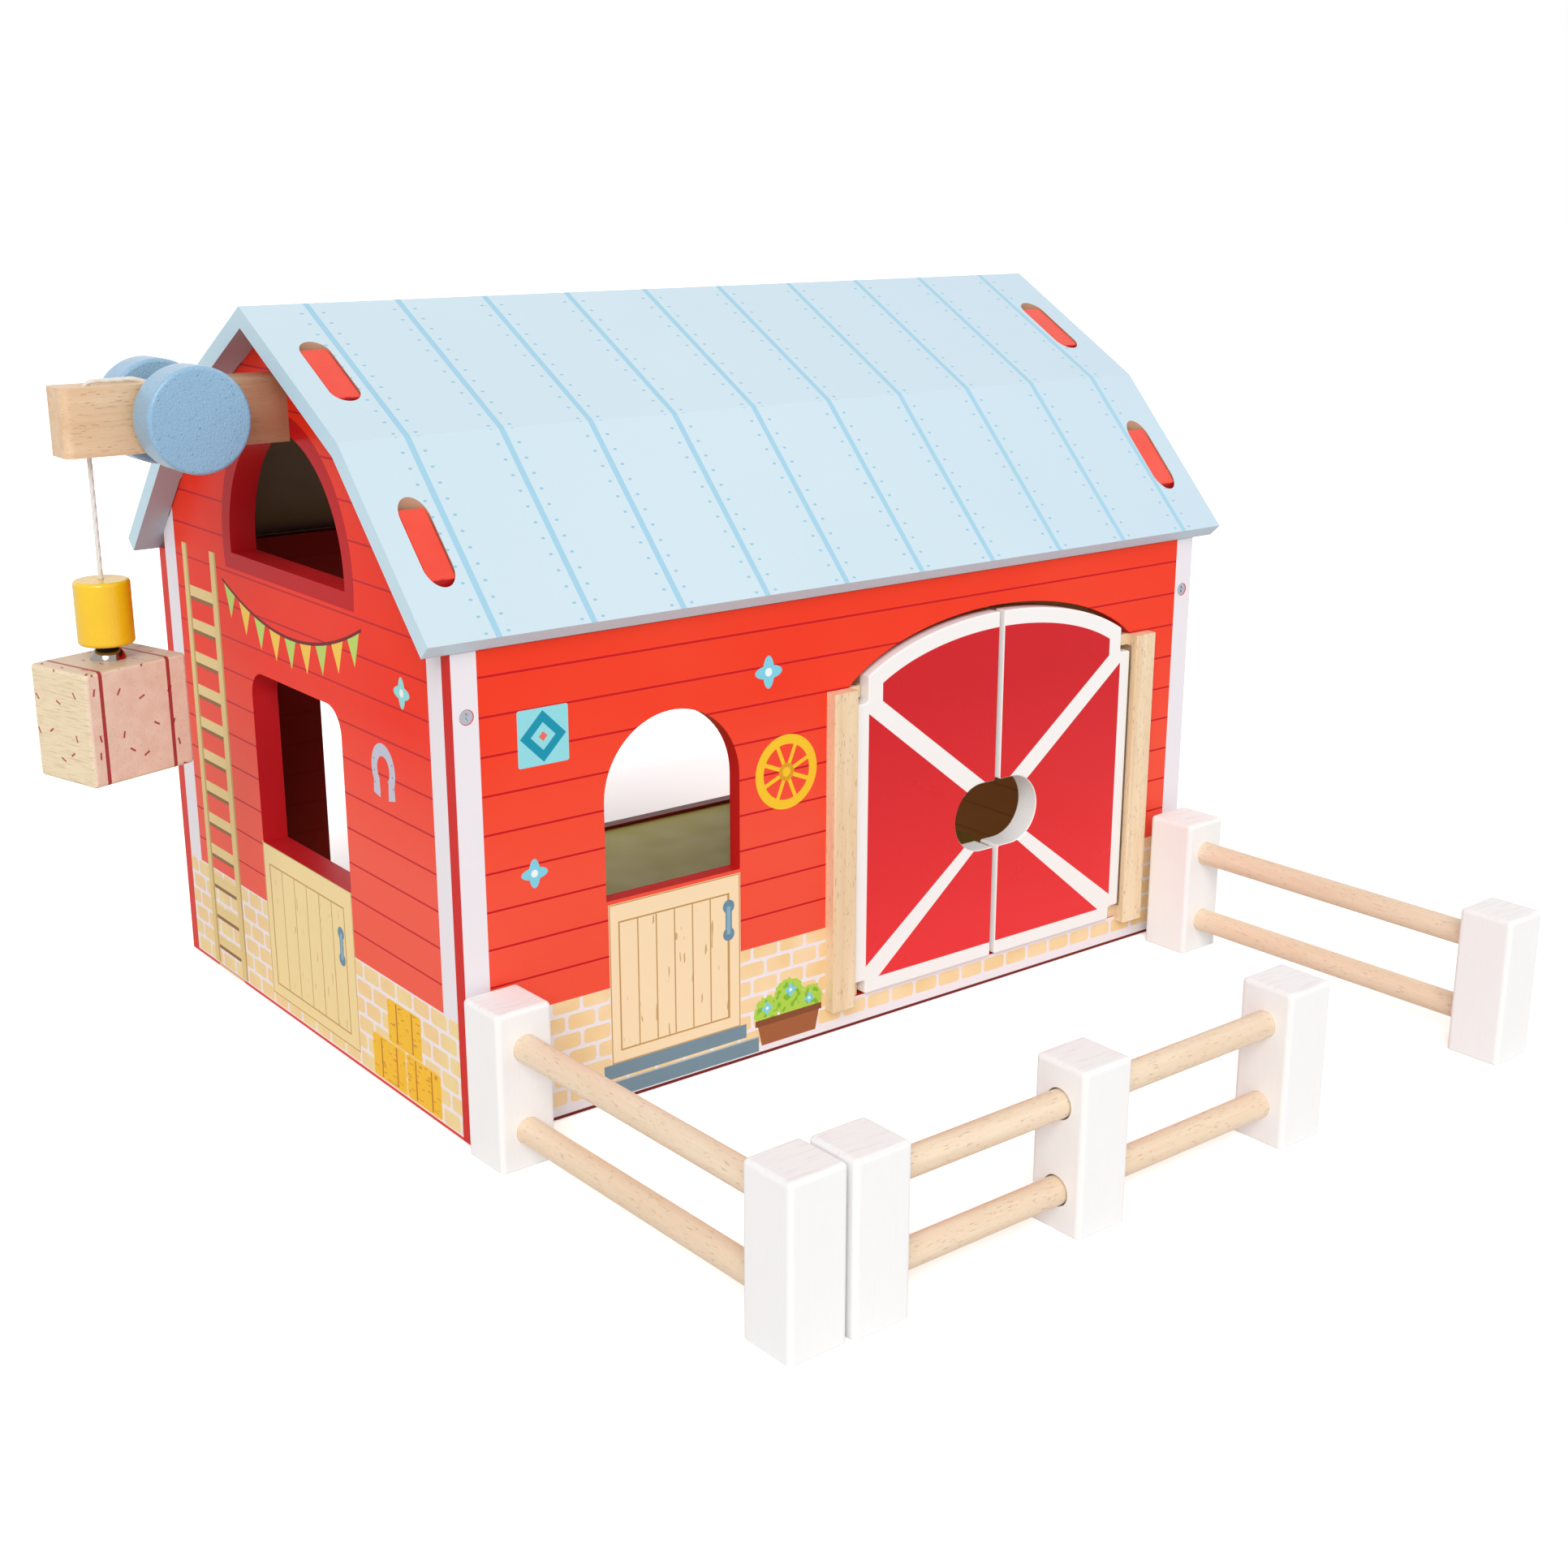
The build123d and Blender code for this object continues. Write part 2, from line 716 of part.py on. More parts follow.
# Turns of cord on the axle, as one ring inside the beam's slot
winding_width = 2 * cord_radius * cord_turns
with BuildPart() as cord_winding:
    with BuildSketch(Plane.XZ.offset(winding_width / 2 - beam_center_y)):
        with Locations((windlass_x, windlass_z)):
            Circle(axle_radius + 2 * cord_radius)
            Circle(axle_radius, mode=Mode.SUBTRACT)
    extrude(amount=-winding_width)
cord_winding.part.label = "cord_winding"
export_step(cord_winding.part, "parts/cord_winding.step")

# Cord from the winding, over the slot's edge, along the beam and down through its hole.
# It runs tangent to the turns and to the rounded edge that it bends over.
cord_z = beam_top_z + cord_clearance + cord_radius
cord_bend = cord_edge_round + cord_clearance + cord_radius
edge_x = windlass_x - winding_slot_length / 2 - cord_edge_round
edge_z = beam_top_z - cord_edge_round
turn_radius = axle_radius + cord_radius
edge_distance = hypot(windlass_x - edge_x, windlass_z - edge_z)
lean = atan2(windlass_z - edge_z, windlass_x - edge_x)
lean += acos((cord_bend - turn_radius) / edge_distance)
ring_radius = axle_radius + 2 * cord_radius + winding_clearance
setback = sqrt(ring_radius**2 - axle_radius**2)
run_start = (
    windlass_x + turn_radius * cos(lean) - setback * sin(lean),
    windlass_z + turn_radius * sin(lean) + setback * cos(lean),
)
edge_corner = (edge_x + cord_bend * (1 - sin(lean)) / cos(lean), cord_z)
hole_corner = (cord_x, cord_z)
with BuildPart() as cord_run:
    with BuildLine(Plane.XZ.offset(-beam_center_y)) as run_path:
        FilletPolyline(
            run_start,
            edge_corner,
            hole_corner,
            (cord_x, beam_bottom_z),
            radius=[cord_bend, cord_bend],
        )
    with BuildSketch(Plane(origin=run_path.line @ 0, z_dir=run_path.line % 0)):
        Circle(cord_radius)
    sweep(path=run_path.line)
cord_run.part.label = "cord_run"
export_step(cord_run.part, "parts/cord_run.step")
print("cord bend radii", round(cord_bend, 2), round(cord_bend, 2))
run_length = sum(edge.length for edge in run_path.edges())
print("cord run length", round(run_length, 1))
print("volume ratio", round(cord_run.part.volume / (pi * cord_radius**2 * run_length), 4))

# Hanging cord, straight under the weight that it carries
holder_top_z = beam_bottom_z - cord_drop_length
holder_bottom_z = holder_top_z - holder_height
hook_point = (cord_x, beam_center_y)
with BuildPart() as cord_drop:
    with BuildSketch(Plane.XY.offset(holder_top_z)):
        with Locations(hook_point):
            Circle(cord_radius)
    extrude(amount=cord_drop_length)
cord_drop.part.label = "cord_drop"
export_step(cord_drop.part, "parts/cord_drop.step")
print("hanging cord length", round(cord_drop_length, 1))

# Turned holder with a bore for the cord, a chamber for its knot and a seat for the magnet
magnet_top_z = holder_bottom_z + magnet_thickness
knot_top_z = magnet_top_z + knot_bore_depth
with BuildPart() as magnet_holder:
    with BuildSketch(Plane.XY.offset(holder_bottom_z)):
        with Locations(hook_point):
            Circle(holder_radius)
    extrude(amount=holder_height)
    fillet(magnet_holder.edges().filter_by(GeomType.CIRCLE), holder_ease)
    with BuildSketch(Plane.XY.offset(holder_bottom_z)):
        with Locations(hook_point):
            Circle(magnet_radius + magnet_clearance)
    extrude(amount=magnet_thickness, mode=Mode.SUBTRACT)
    with BuildSketch(Plane.XY.offset(magnet_top_z)):
        with Locations(hook_point):
            Circle(knot_bore_radius)
    extrude(amount=knot_bore_depth, mode=Mode.SUBTRACT)
    with BuildSketch(Plane.XY.offset(holder_top_z)):
        with Locations(hook_point):
            Circle(holder_cord_bore)
    extrude(amount=-holder_height, mode=Mode.SUBTRACT)
magnet_holder.part.label = "magnet_holder"
export_step(magnet_holder.part, "parts/magnet_holder.step")

# Knotted end of the cord inside the holder
with BuildPart() as cord_knot:
    with BuildSketch(Plane.XY.offset(holder_top_z)):
        with Locations(hook_point):
            Circle(cord_radius)
    extrude(amount=knot_top_z - knot_radius - holder_top_z)
    with Locations((cord_x, beam_center_y, knot_top_z - knot_radius)):
        Sphere(knot_radius)
cord_knot.part.label = "cord_knot"
export_step(cord_knot.part, "parts/cord_knot.step")

with BuildPart() as magnet:
    with BuildSketch(Plane.XY.offset(holder_bottom_z)):
        with Locations(hook_point):
            Circle(magnet_radius)
    extrude(amount=magnet_thickness)
magnet.part.label = "magnet"
export_step(magnet.part, "parts/magnet.step")

# Wooden bale, turned a little on its cord, and the domed steel stud that the magnet holds
bale_top_z = holder_bottom_z - magnet_gap - stud_height
bale_plane = Plane(
    origin=(cord_x, beam_center_y, bale_top_z),
    x_dir=(cos(radians(bale_turn)), sin(radians(bale_turn)), 0),
    z_dir=(0, 0, 1),
)
with BuildPart() as bale_block:
    with BuildSketch(bale_plane):
        Rectangle(bale_length, bale_width)
    extrude(amount=-bale_height)
    fillet(bale_block.edges(), bale_ease)
    with BuildSketch(bale_plane):
        Circle(stud_shank_radius)
    extrude(amount=-stud_shank_depth, mode=Mode.SUBTRACT)
bale_block.part.label = "bale_block"
export_step(bale_block.part, "parts/bale_block.step")

dome_radius = (stud_radius**2 + stud_height**2) / (2 * stud_height)
dome_middle = (dome_radius * 0.6, stud_height - dome_radius * 0.2)
with BuildPart() as bale_stud:
    with BuildSketch(Plane(origin=bale_plane.origin, x_dir=(1, 0, 0), z_dir=(0, -1, 0))):
        with BuildLine():
            dome = ThreePointArc((0, stud_height), dome_middle, (stud_radius, 0))
            Polyline(
                dome @ 1,
                (stud_shank_radius, 0),
                (stud_shank_radius, -stud_shank_depth),
                (0, -stud_shank_depth),
                dome @ 0,
            )
        make_face()
    revolve(axis=Axis(bale_plane.origin, (0, 0, 1)))
bale_stud.part.label = "bale_stud"
export_step(bale_stud.part, "parts/bale_stud.step")


def fence_plane(x, y, heading):
    """Floor plane of a fence section, its X axis running from the first post to the last."""
    return Plane(
        origin=(x, y, 0),
        x_dir=(cos(radians(heading)), sin(radians(heading)), 0),
        z_dir=(0, 0, 1),
    )


def post_blank():
    """Square post standing on its section's plane, with rounded corners and top."""
    with BuildPart() as blank:
        with BuildSketch():
            RectangleRounded(post_size, post_size, post_corner)
        extrude(amount=post_height)
        fillet(blank.faces().sort_by(Axis.Z)[-1].edges(), post_top_ease)
    return blank.part


def rail_bores(radius, depth):
    """Two level bores that enter the +X face of a post."""
    with BuildPart() as bores:
        with BuildSketch(Plane.YZ.offset(post_size / 2)):
            with Locations((0, rail_low_height), (0, rail_high_height)):
                Circle(radius)
        extrude(amount=-depth)
    return bores.part


left_plane = fence_plane(
    -gable_x + left_fence_inset, front_y - left_fence_distance, left_fence_turn - 90
)
right_plane = fence_plane(
    gable_x - right_fence_inset, front_y - right_fence_distance, right_fence_turn - 90
)
middle_plane = fence_plane(
    -gable_x + middle_fence_inset, front_y - middle_fence_distance, middle_fence_turn
)
fence_sections = (
    ("left", left_plane, side_post_spacing),
    ("right", right_plane, side_post_spacing),
    ("middle", middle_plane, middle_post_spacing),
)
seat_radius = rail_radius + rail_seat_clearance
rail_start = post_size / 2 - rail_seat_depth + rail_end_gap
for name, plane, spacing in fence_sections:
    with BuildPart() as near_post:
        add(post_blank())
        add(rail_bores(seat_radius, rail_seat_depth), mode=Mode.SUBTRACT)
    placed_near_post = near_post.part.moved(plane.location)
    placed_near_post.label = f"fence_{name}_post_near"
    export_step(placed_near_post, f"parts/fence_{name}_post_near.step")

    far_plane = Plane(plane.from_local_coords((spacing, 0, 0)), x_dir=-plane.x_dir)
    with BuildPart() as far_post:
        add(post_blank())
        add(rail_bores(seat_radius, rail_seat_depth), mode=Mode.SUBTRACT)
    placed_far_post = far_post.part.moved(far_plane.location)
    placed_far_post.label = f"fence_{name}_post_far"
    export_step(placed_far_post, f"parts/fence_{name}_post_far.step")

    for level, height in (("low", rail_low_height), ("high", rail_high_height)):
        with BuildPart() as rail:
            with BuildSketch(Plane.YZ.offset(rail_start)):
                with Locations((0, height)):
                    Circle(rail_radius)
            extrude(amount=spacing - 2 * rail_start)
        placed_rail = rail.part.moved(plane.location)
        placed_rail.label = f"fence_{name}_rail_{level}"
        export_step(placed_rail, f"parts/fence_{name}_rail_{level}.step")

# Middle post of the long section, loose on the two rails that run through it
with BuildPart() as sliding_post:
    add(post_blank())
    add(rail_bores(rail_radius + sliding_post_clearance, post_size), mode=Mode.SUBTRACT)
slide_plane = Plane(
    middle_plane.from_local_coords((sliding_post_offset, 0, 0)), x_dir=middle_plane.x_dir
)
placed_sliding_post = sliding_post.part.moved(slide_plane.location)
placed_sliding_post.label = "fence_sliding_post"
export_step(placed_sliding_post, "parts/fence_sliding_post.step")
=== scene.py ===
import math

import bmesh
import bpy
import numpy as np
from mathutils import Matrix, Vector


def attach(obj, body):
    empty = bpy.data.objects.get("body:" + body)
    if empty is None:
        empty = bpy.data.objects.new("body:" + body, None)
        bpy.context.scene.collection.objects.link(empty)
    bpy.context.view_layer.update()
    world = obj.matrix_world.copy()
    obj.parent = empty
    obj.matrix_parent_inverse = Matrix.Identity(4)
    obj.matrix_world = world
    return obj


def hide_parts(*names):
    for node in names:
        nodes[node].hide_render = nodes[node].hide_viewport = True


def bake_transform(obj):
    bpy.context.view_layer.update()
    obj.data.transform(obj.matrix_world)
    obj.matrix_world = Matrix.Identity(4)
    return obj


# Toy barn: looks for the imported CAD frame. The frame is in metres. Prints, grain and the
# measures below are in millimetres, on each node's object coordinates in the part's own axes.
MM = 1000.0
SOFT = 0.25  # millimetres over which a printed edge fades
SKIN = 0.1  # how far the colour of a face reaches into its board

# outer and inner face of the gables (x) and the long walls (y), from the barn's middle
BOARD_FACES = {"x": (205.0, 193.0), "y": (139.0, 132.0)}
# the roof's outer line, y and z
RIDGE, BEND, EAVE = (0, 320.04), (81.12, 273.96), (145.1, 206.07)
# the hanging cord's upright line, the heights that it joins, and the axle it winds on
CORD_X, CORD_Y, BEAM_FOOT, HOLDER_TOP = -284.5, -4.3, 266.6, 217.8
AXLE_X, AXLE_Z = -249.9, 279.8

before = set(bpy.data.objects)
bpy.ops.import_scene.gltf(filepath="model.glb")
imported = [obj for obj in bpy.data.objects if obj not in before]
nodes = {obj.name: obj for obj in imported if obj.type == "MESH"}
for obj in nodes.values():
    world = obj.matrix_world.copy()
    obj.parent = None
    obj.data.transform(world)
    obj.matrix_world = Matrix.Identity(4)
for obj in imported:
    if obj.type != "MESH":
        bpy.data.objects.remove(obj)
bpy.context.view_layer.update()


def add_to_scene(piece):
    bpy.context.scene.collection.objects.link(piece)


# ---------------------------------------------------------------- camera, light and floor
def place_camera():
    """Camera at the photograph's viewing point and angle."""
    eye = Vector((-0.5646, -0.8002, 0.3748))
    yaw, pitch, roll = 0.6634, 0.2928, 0.0011
    forward = Vector((math.sin(yaw) * math.cos(pitch), math.cos(yaw) * math.cos(pitch),
                      -math.sin(pitch)))
    level = Vector((math.cos(yaw), -math.sin(yaw), 0))
    upright = level.cross(forward)
    right = level * math.cos(roll) + upright * math.sin(roll)
    up = upright * math.cos(roll) - level * math.sin(roll)
    turn = Matrix((right, up, -forward)).transposed().to_4x4()
    data = bpy.data.cameras.new("camera")
    data.sensor_width = 36
    data.lens = 47.22
    data.clip_start = 0.01
    data.clip_end = 100
    camera = bpy.data.objects.new("camera", data)
    camera.matrix_world = Matrix.Translation(eye) @ turn
    add_to_scene(camera)
    bpy.context.scene.camera = camera


def add_sun(name, toward, strength, spread):
    data = bpy.data.lights.new(name, "SUN")
    data.energy = strength
    data.angle = math.radians(spread)
    lamp = bpy.data.objects.new(name, data)
    lamp.rotation_mode = "QUATERNION"
    lamp.rotation_quaternion = Vector(toward).to_track_quat("Z", "Y")
    add_to_scene(lamp)


def mix_by_ray(tree, seen, lit, shown, output):
    """Joins a shader for the light that is cast and one for what the rays in seen show."""
    mix = tree.nodes.new("ShaderNodeMixShader")
    for socket, source in zip(mix.inputs, (seen, lit.outputs[0], shown.outputs[0])):
        tree.links.new(source, socket)
    tree.links.new(mix.outputs[0], tree.nodes.new(output).inputs["Surface"])


def light_world(level):
    """Even soft light, seen as plain white by the camera and in reflections."""
    world = bpy.data.worlds.new("studio")
    bpy.context.scene.world = world
    world.use_nodes = True
    tree = world.node_tree
    tree.nodes.clear()
    path = tree.nodes.new("ShaderNodeLightPath")
    seen = path.outputs["Is Camera Ray"]
    for kind in ("Is Glossy Ray", "Is Transmission Ray"):
        either = tree.nodes.new("ShaderNodeMath")
        either.operation = "MAXIMUM"
        tree.links.new(seen, either.inputs[0])
        tree.links.new(path.outputs[kind], either.inputs[1])
        seen = either.outputs[0]
    lit, shown = (tree.nodes.new("ShaderNodeBackground") for _ in range(2))
    for ground, strength in ((lit, level), (shown, 1.0)):
        ground.inputs["Color"].default_value = (1, 1, 1, 1)
        ground.inputs["Strength"].default_value = strength
    mix_by_ray(tree, seen, lit, shown, "ShaderNodeOutputWorld")


def lay_floor(lit_tone, shown_tone):
    """Plain pale floor that keeps the object's shadow and runs into the white background."""
    size, gap = 12.0, 0.0003
    mesh = bpy.data.meshes.new("floor")
    mesh.from_pydata([(-size, -size, 0), (size, -size, 0), (size, size, 0), (-size, size, 0)],
                     [], [(0, 1, 2, 3)])
    floor = bpy.data.objects.new("floor", mesh)
    floor.location.z = -gap
    add_to_scene(floor)
    material = bpy.data.materials.new("floor_paper")
    material.use_nodes = True
    tree = material.node_tree
    tree.nodes.clear()
    path = tree.nodes.new("ShaderNodeLightPath")
    lit, shown = (tree.nodes.new("ShaderNodeBsdfDiffuse") for _ in range(2))
    for paper, tone in ((lit, lit_tone), (shown, shown_tone)):
        paper.inputs["Color"].default_value = (tone, tone, tone, 1)
    mix_by_ray(tree, path.outputs["Is Camera Ray"], lit, shown, "ShaderNodeOutputMaterial")
    floor.data.materials.append(material)


bpy.context.scene.view_settings.view_transform = "Standard"
place_camera()
light_world(0.60)
add_sun("key", (-0.58, -0.66, 0.62), 1.52, 35)
add_sun("fill", (0.80, -0.30, 0.50), 0.35, 60)
lay_floor(0.80, 1.62)


# ---------------------------------------------------------------- material kit
def srgb(r, g, b):
    """Colour as seen on a screen, 0 to 255, as the linear colour that the shader takes."""
    def linear(c):
        c = c / 255
        return c / 12.92 if c <= 0.04045 else ((c + 0.055) / 1.055) ** 2.4
    return (linear(r), linear(g), linear(b), 1)


class Value:
    """A number that varies over a surface, with arithmetic done by Math nodes."""

    def __init__(self, surface, socket):
        self.surface, self.socket = surface, socket

    def __add__(self, other):
        return self.surface.math("ADD", self, other)

    def __sub__(self, other):
        return self.surface.math("SUBTRACT", self, other)

    def __rsub__(self, other):
        return self.surface.math("SUBTRACT", other, self)

    def __mul__(self, other):
        return self.surface.math("MULTIPLY", self, other)

    def __truediv__(self, other):
        return self.surface.math("DIVIDE", self, other)

    def __abs__(self):
        return self.surface.math("ABSOLUTE", self)


class Surface:
    """One procedural material, painted in layers from the bottom up."""

    def __init__(self, name, color, roughness, specular=0.5, metal=0.0, coat=0.0):
        self.material = bpy.data.materials.new(name)
        self.material.use_nodes = True
        self.tree = self.material.node_tree
        self.shader = self.tree.nodes["Principled BSDF"]
        self.shader.inputs["Roughness"].default_value = roughness
        self.shader.inputs["Specular IOR Level"].default_value = specular
        self.shader.inputs["Metallic"].default_value = metal
        self.shader.inputs["Coat Weight"].default_value = coat
        self.shader.inputs["Coat Roughness"].default_value = 0.12
        self.roughness = roughness
        coords = self.tree.nodes.new("ShaderNodeTexCoord")
        self.place = self.vector("SCALE", coords.outputs["Object"], scale=MM)
        self.x, self.y, self.z = self.split(self.place)
        self.nx, self.ny, self.nz = self.split(coords.outputs["Normal"])
        self.color = color
        self.height = None

    def feed(self, socket, value):
        """Links a socket to what varies over the surface, or sets it to a plain value."""
        source = value.socket if isinstance(value, Value) else value
        if isinstance(source, bpy.types.NodeSocket):
            self.tree.links.new(source, socket)
        else:
            socket.default_value = source

    def math(self, operation, *inputs, clamp=False):
        node = self.tree.nodes.new("ShaderNodeMath")
        node.operation = operation
        node.use_clamp = clamp
        for socket, value in zip(node.inputs, inputs):
            self.feed(socket, value)
        return Value(self, node.outputs[0])

    def vector(self, operation, a, b=None, scale=None):
        node = self.tree.nodes.new("ShaderNodeVectorMath")
        node.operation = operation
        self.feed(node.inputs[0], a)
        if b is not None:
            self.feed(node.inputs[1], b)
        if scale is not None:
            node.inputs["Scale"].default_value = scale
        return node.outputs[0]

    def split(self, socket):
        node = self.tree.nodes.new("ShaderNodeSeparateXYZ")
        self.tree.links.new(socket, node.inputs[0])
        return [Value(self, out) for out in node.outputs]

    def join(self, *values):
        node = self.tree.nodes.new("ShaderNodeCombineXYZ")
        for socket, value in zip(node.inputs, values):
            self.feed(socket, value)
        return node.outputs[0]

    def noise(self, vector, scale, detail=3.0, rough=0.5):
        node = self.tree.nodes.new("ShaderNodeTexNoise")
        for name, value in (("Vector", vector), ("Scale", scale), ("Detail", detail),
                            ("Roughness", rough)):
            self.feed(node.inputs[name], value)
        return Value(self, node.outputs[0])

    def spread(self, value, low, high, to_low=0.0, to_high=1.0):
        """A value between low and high as one between to_low and to_high, and not past them."""
        node = self.tree.nodes.new("ShaderNodeMapRange")
        for name, number in (("Value", value), ("From Min", low), ("From Max", high),
                             ("To Min", to_low), ("To Max", to_high)):
            self.feed(node.inputs[name], number)
        return Value(self, node.outputs[0])

    def blend(self, mask, under, over):
        node = self.tree.nodes.new("ShaderNodeMix")
        node.data_type = "RGBA"
        for socket, value in ((0, mask), (6, under), (7, over)):
            self.feed(node.inputs[socket], value)
        return node.outputs[2]

    def paint(self, distance, color, where=None):
        """A layer of colour inside a shape given by its signed distance in millimetres."""
        mask = self.cover(distance)
        if where is not None:
            mask = mask * where
        self.tint(mask, color)

    def tint(self, amount, color):
        """A layer of colour as strong as amount says, 0 to 1."""
        self.color = self.blend(amount, self.color, color)

    def mottle(self, size, amount, color, low=0.3, high=0.7, detail=2):
        """Patches of another tone."""
        self.tint(self.spread(self.noise(self.place, size, detail), low, high) * amount, color)

    def cover(self, distance):
        """1 inside a shape and 0 outside it, with a soft edge."""
        return self.math("MULTIPLY_ADD", distance, -1 / SOFT, 0.5, clamp=True)

    def raised(self, value, share=1.0):
        value = value * share
        self.height = value if self.height is None else self.height + value

    def finish(self, depth=0.0001, gloss_change=0.0):
        """Connects colour, relief and a faint change of gloss."""
        self.feed(self.shader.inputs["Base Color"], self.color)
        if self.height is not None:
            bump = self.tree.nodes.new("ShaderNodeBump")
            bump.inputs["Strength"].default_value = 1.0
            bump.inputs["Distance"].default_value = depth
            self.feed(bump.inputs["Height"], self.height)
            self.feed(self.shader.inputs["Normal"], bump.outputs[0])
        if gloss_change:
            patchy = self.noise(self.place, 0.05, 2)
            low, high = self.roughness - gloss_change, self.roughness + gloss_change
            self.feed(self.shader.inputs["Roughness"], self.spread(patchy, 0.3, 0.7, low, high))
        return self.material


# Shapes are signed distances in millimetres, negative inside, from two coordinates u and v
def joined(operation, first, *rest):
    for value in rest:
        first = first.surface.math(operation, first, value)
    return first


def least(*values):
    """The shapes together."""
    return joined("MINIMUM", *values)


def most(*values):
    """What the shapes have in common."""
    return joined("MAXIMUM", *values)


def length(u, v):
    return u.surface.math("SQRT", u.surface.math("MULTIPLY_ADD", u, u, v * v))


def slab(value, low, high):
    return abs(value - (low + high) / 2) - (high - low) / 2


def rect(u, v, left, right, bottom, top, corner=0.0):
    du, dv = slab(u, left, right), slab(v, bottom, top)
    if not corner:
        return most(du, dv)
    return length(most(du + corner, 0), most(dv + corner, 0)) - corner


def disc(u, v, cu, cv, radius):
    return length(u - cu, v - cv) - radius


def oval(u, v, cu, cv, half_u, half_v):
    reach = min(half_u, half_v)
    return length((u - cu) * (reach / half_u), (v - cv) * (reach / half_v)) - reach


def side_of(u, v, start, end):
    """Distance from a line, negative on the left as one goes from start to end."""
    du, dv = end[0] - start[0], end[1] - start[1]
    long = math.hypot(du, dv)
    offset = (start[0] * dv - start[1] * du) / long
    return (u * (dv / long) - offset) - v * (du / long)


def outline(u, v, corners):
    """Convex polygon, its corners given anticlockwise."""
    sides = [side_of(u, v, a, b) for a, b in zip(corners, corners[1:] + corners[:1])]
    return most(*sides)


def stripes(value, period, phase):
    """Distance from the nearest of evenly spaced lines."""
    return value.surface.math("PINGPONG", value - phase, period / 2)


# ---------------------------------------------------------------- wood and paint
def grained(surface, along, light, dark, strength=0.8, pores=0.3, seed=0.0, place=None):
    """Sawn wood: broad bands, fine fibres and short dark pores along one axis."""
    stretch = [1.0, 1.0, 1.0]
    stretch["xyz".index(along)] = 0.045
    shifted = surface.vector("ADD", place or surface.place, (seed, seed * 1.7, seed * 0.6))
    lane = surface.vector("MULTIPLY", shifted, tuple(stretch))
    bands = surface.spread(surface.noise(lane, 0.16, 4, 0.6), 0.32, 0.72)
    fibres = surface.spread(surface.noise(lane, 1.3, 3, 0.6), 0.3, 0.75)
    surface.color = srgb(*light)
    surface.tint(bands * strength, srgb(*dark))
    surface.tint(fibres * (0.35 * strength), srgb(*dark))
    stretch["xyz".index(along)] = 0.16
    dash = surface.vector("MULTIPLY", shifted, tuple(stretch))
    holes = surface.spread(surface.noise(dash, 1.7, 2, 0.5), 0.63, 0.70)
    surface.tint(holes * pores, srgb(150, 100, 65))
    surface.raised(fibres, 0.5)
    surface.raised(holes, -0.7)


def orange_peel(surface, size, share=1.0):
    """The pebbled skin of sprayed paint."""
    surface.raised(surface.noise(surface.place, size, 2, 0.5), share)


RED = srgb(246, 60, 34)
RED_LINE = srgb(200, 22, 34)
DEEP_RED = srgb(198, 8, 18)
INSIDE_RED = srgb(172, 48, 46)
TRIM_WHITE = srgb(240, 235, 240)
BRICK = srgb(253, 222, 176)
MORTAR = srgb(245, 236, 240)
DOOR_TAN = srgb(252, 226, 186)
TAN_LINE = srgb(196, 150, 92)
BRICK_TOP = 51.0
BOARDS = (15.65, 65.0)  # spacing of the clapboards and the height of one line
WALL_CLADDING = dict(strips=((-205, -194), (194, 205)), row=8.0, foot=4.9)
GABLE_CLADDING = dict(row=8.3, foot=1.2, boards=(15.4, 63.2), red=srgb(246, 46, 16), painted_reflection=0.3,
                      brick=srgb(246, 222, 160), foot_line=srgb(226, 62, 40))


def cladding(s, across, strips, row, foot, boards=BOARDS, red=RED, painted_reflection=0.18, brick=BRICK,
             foot_line=srgb(120, 40, 34)):
    """Clapboard siding, a brick base and white corner strips, by common pattern."""
    z = s.z
    s.color = red
    # painted reflection: the siding turns paler from z 165 down to z 100
    s.tint(s.spread(z, 165.0, 100.0) * painted_reflection, srgb(248, 150, 125))
    s.mottle(0.012, 0.35, srgb(250, 80, 52), low=0.35)
    s.paint(stripes(z, *boards) - 0.42, RED_LINE, s.math("GREATER_THAN", z, 58.0))
    # bricks in running bond
    pitch, joint, corner = 14.5, 0.75, 1.6
    course = s.math("FLOOR", (z - foot) / row)
    shift = s.math("MODULO", course + 20, 2.0) * (pitch / 2)
    gap_u = (joint + corner) - stripes(across + shift, pitch, 0.0)
    gap_v = (joint + corner) - stripes(z, row, foot)
    bricks = most(length(most(gap_u, 0), most(gap_v, 0)) - corner, foot - z)
    s.paint(z - BRICK_TOP, MORTAR)
    base = s.math("LESS_THAN", z, BRICK_TOP)
    shade = s.noise(s.place, 0.06, 1)
    tone = s.blend(s.spread(shade, 0.35, 0.65), brick, srgb(247, 212, 156))
    s.paint(bricks, tone, base)
    for low, high in strips:
        s.paint(most(slab(across, low, high), BRICK_TOP - z), TRIM_WHITE)
    s.paint(z - 1.3, foot_line)


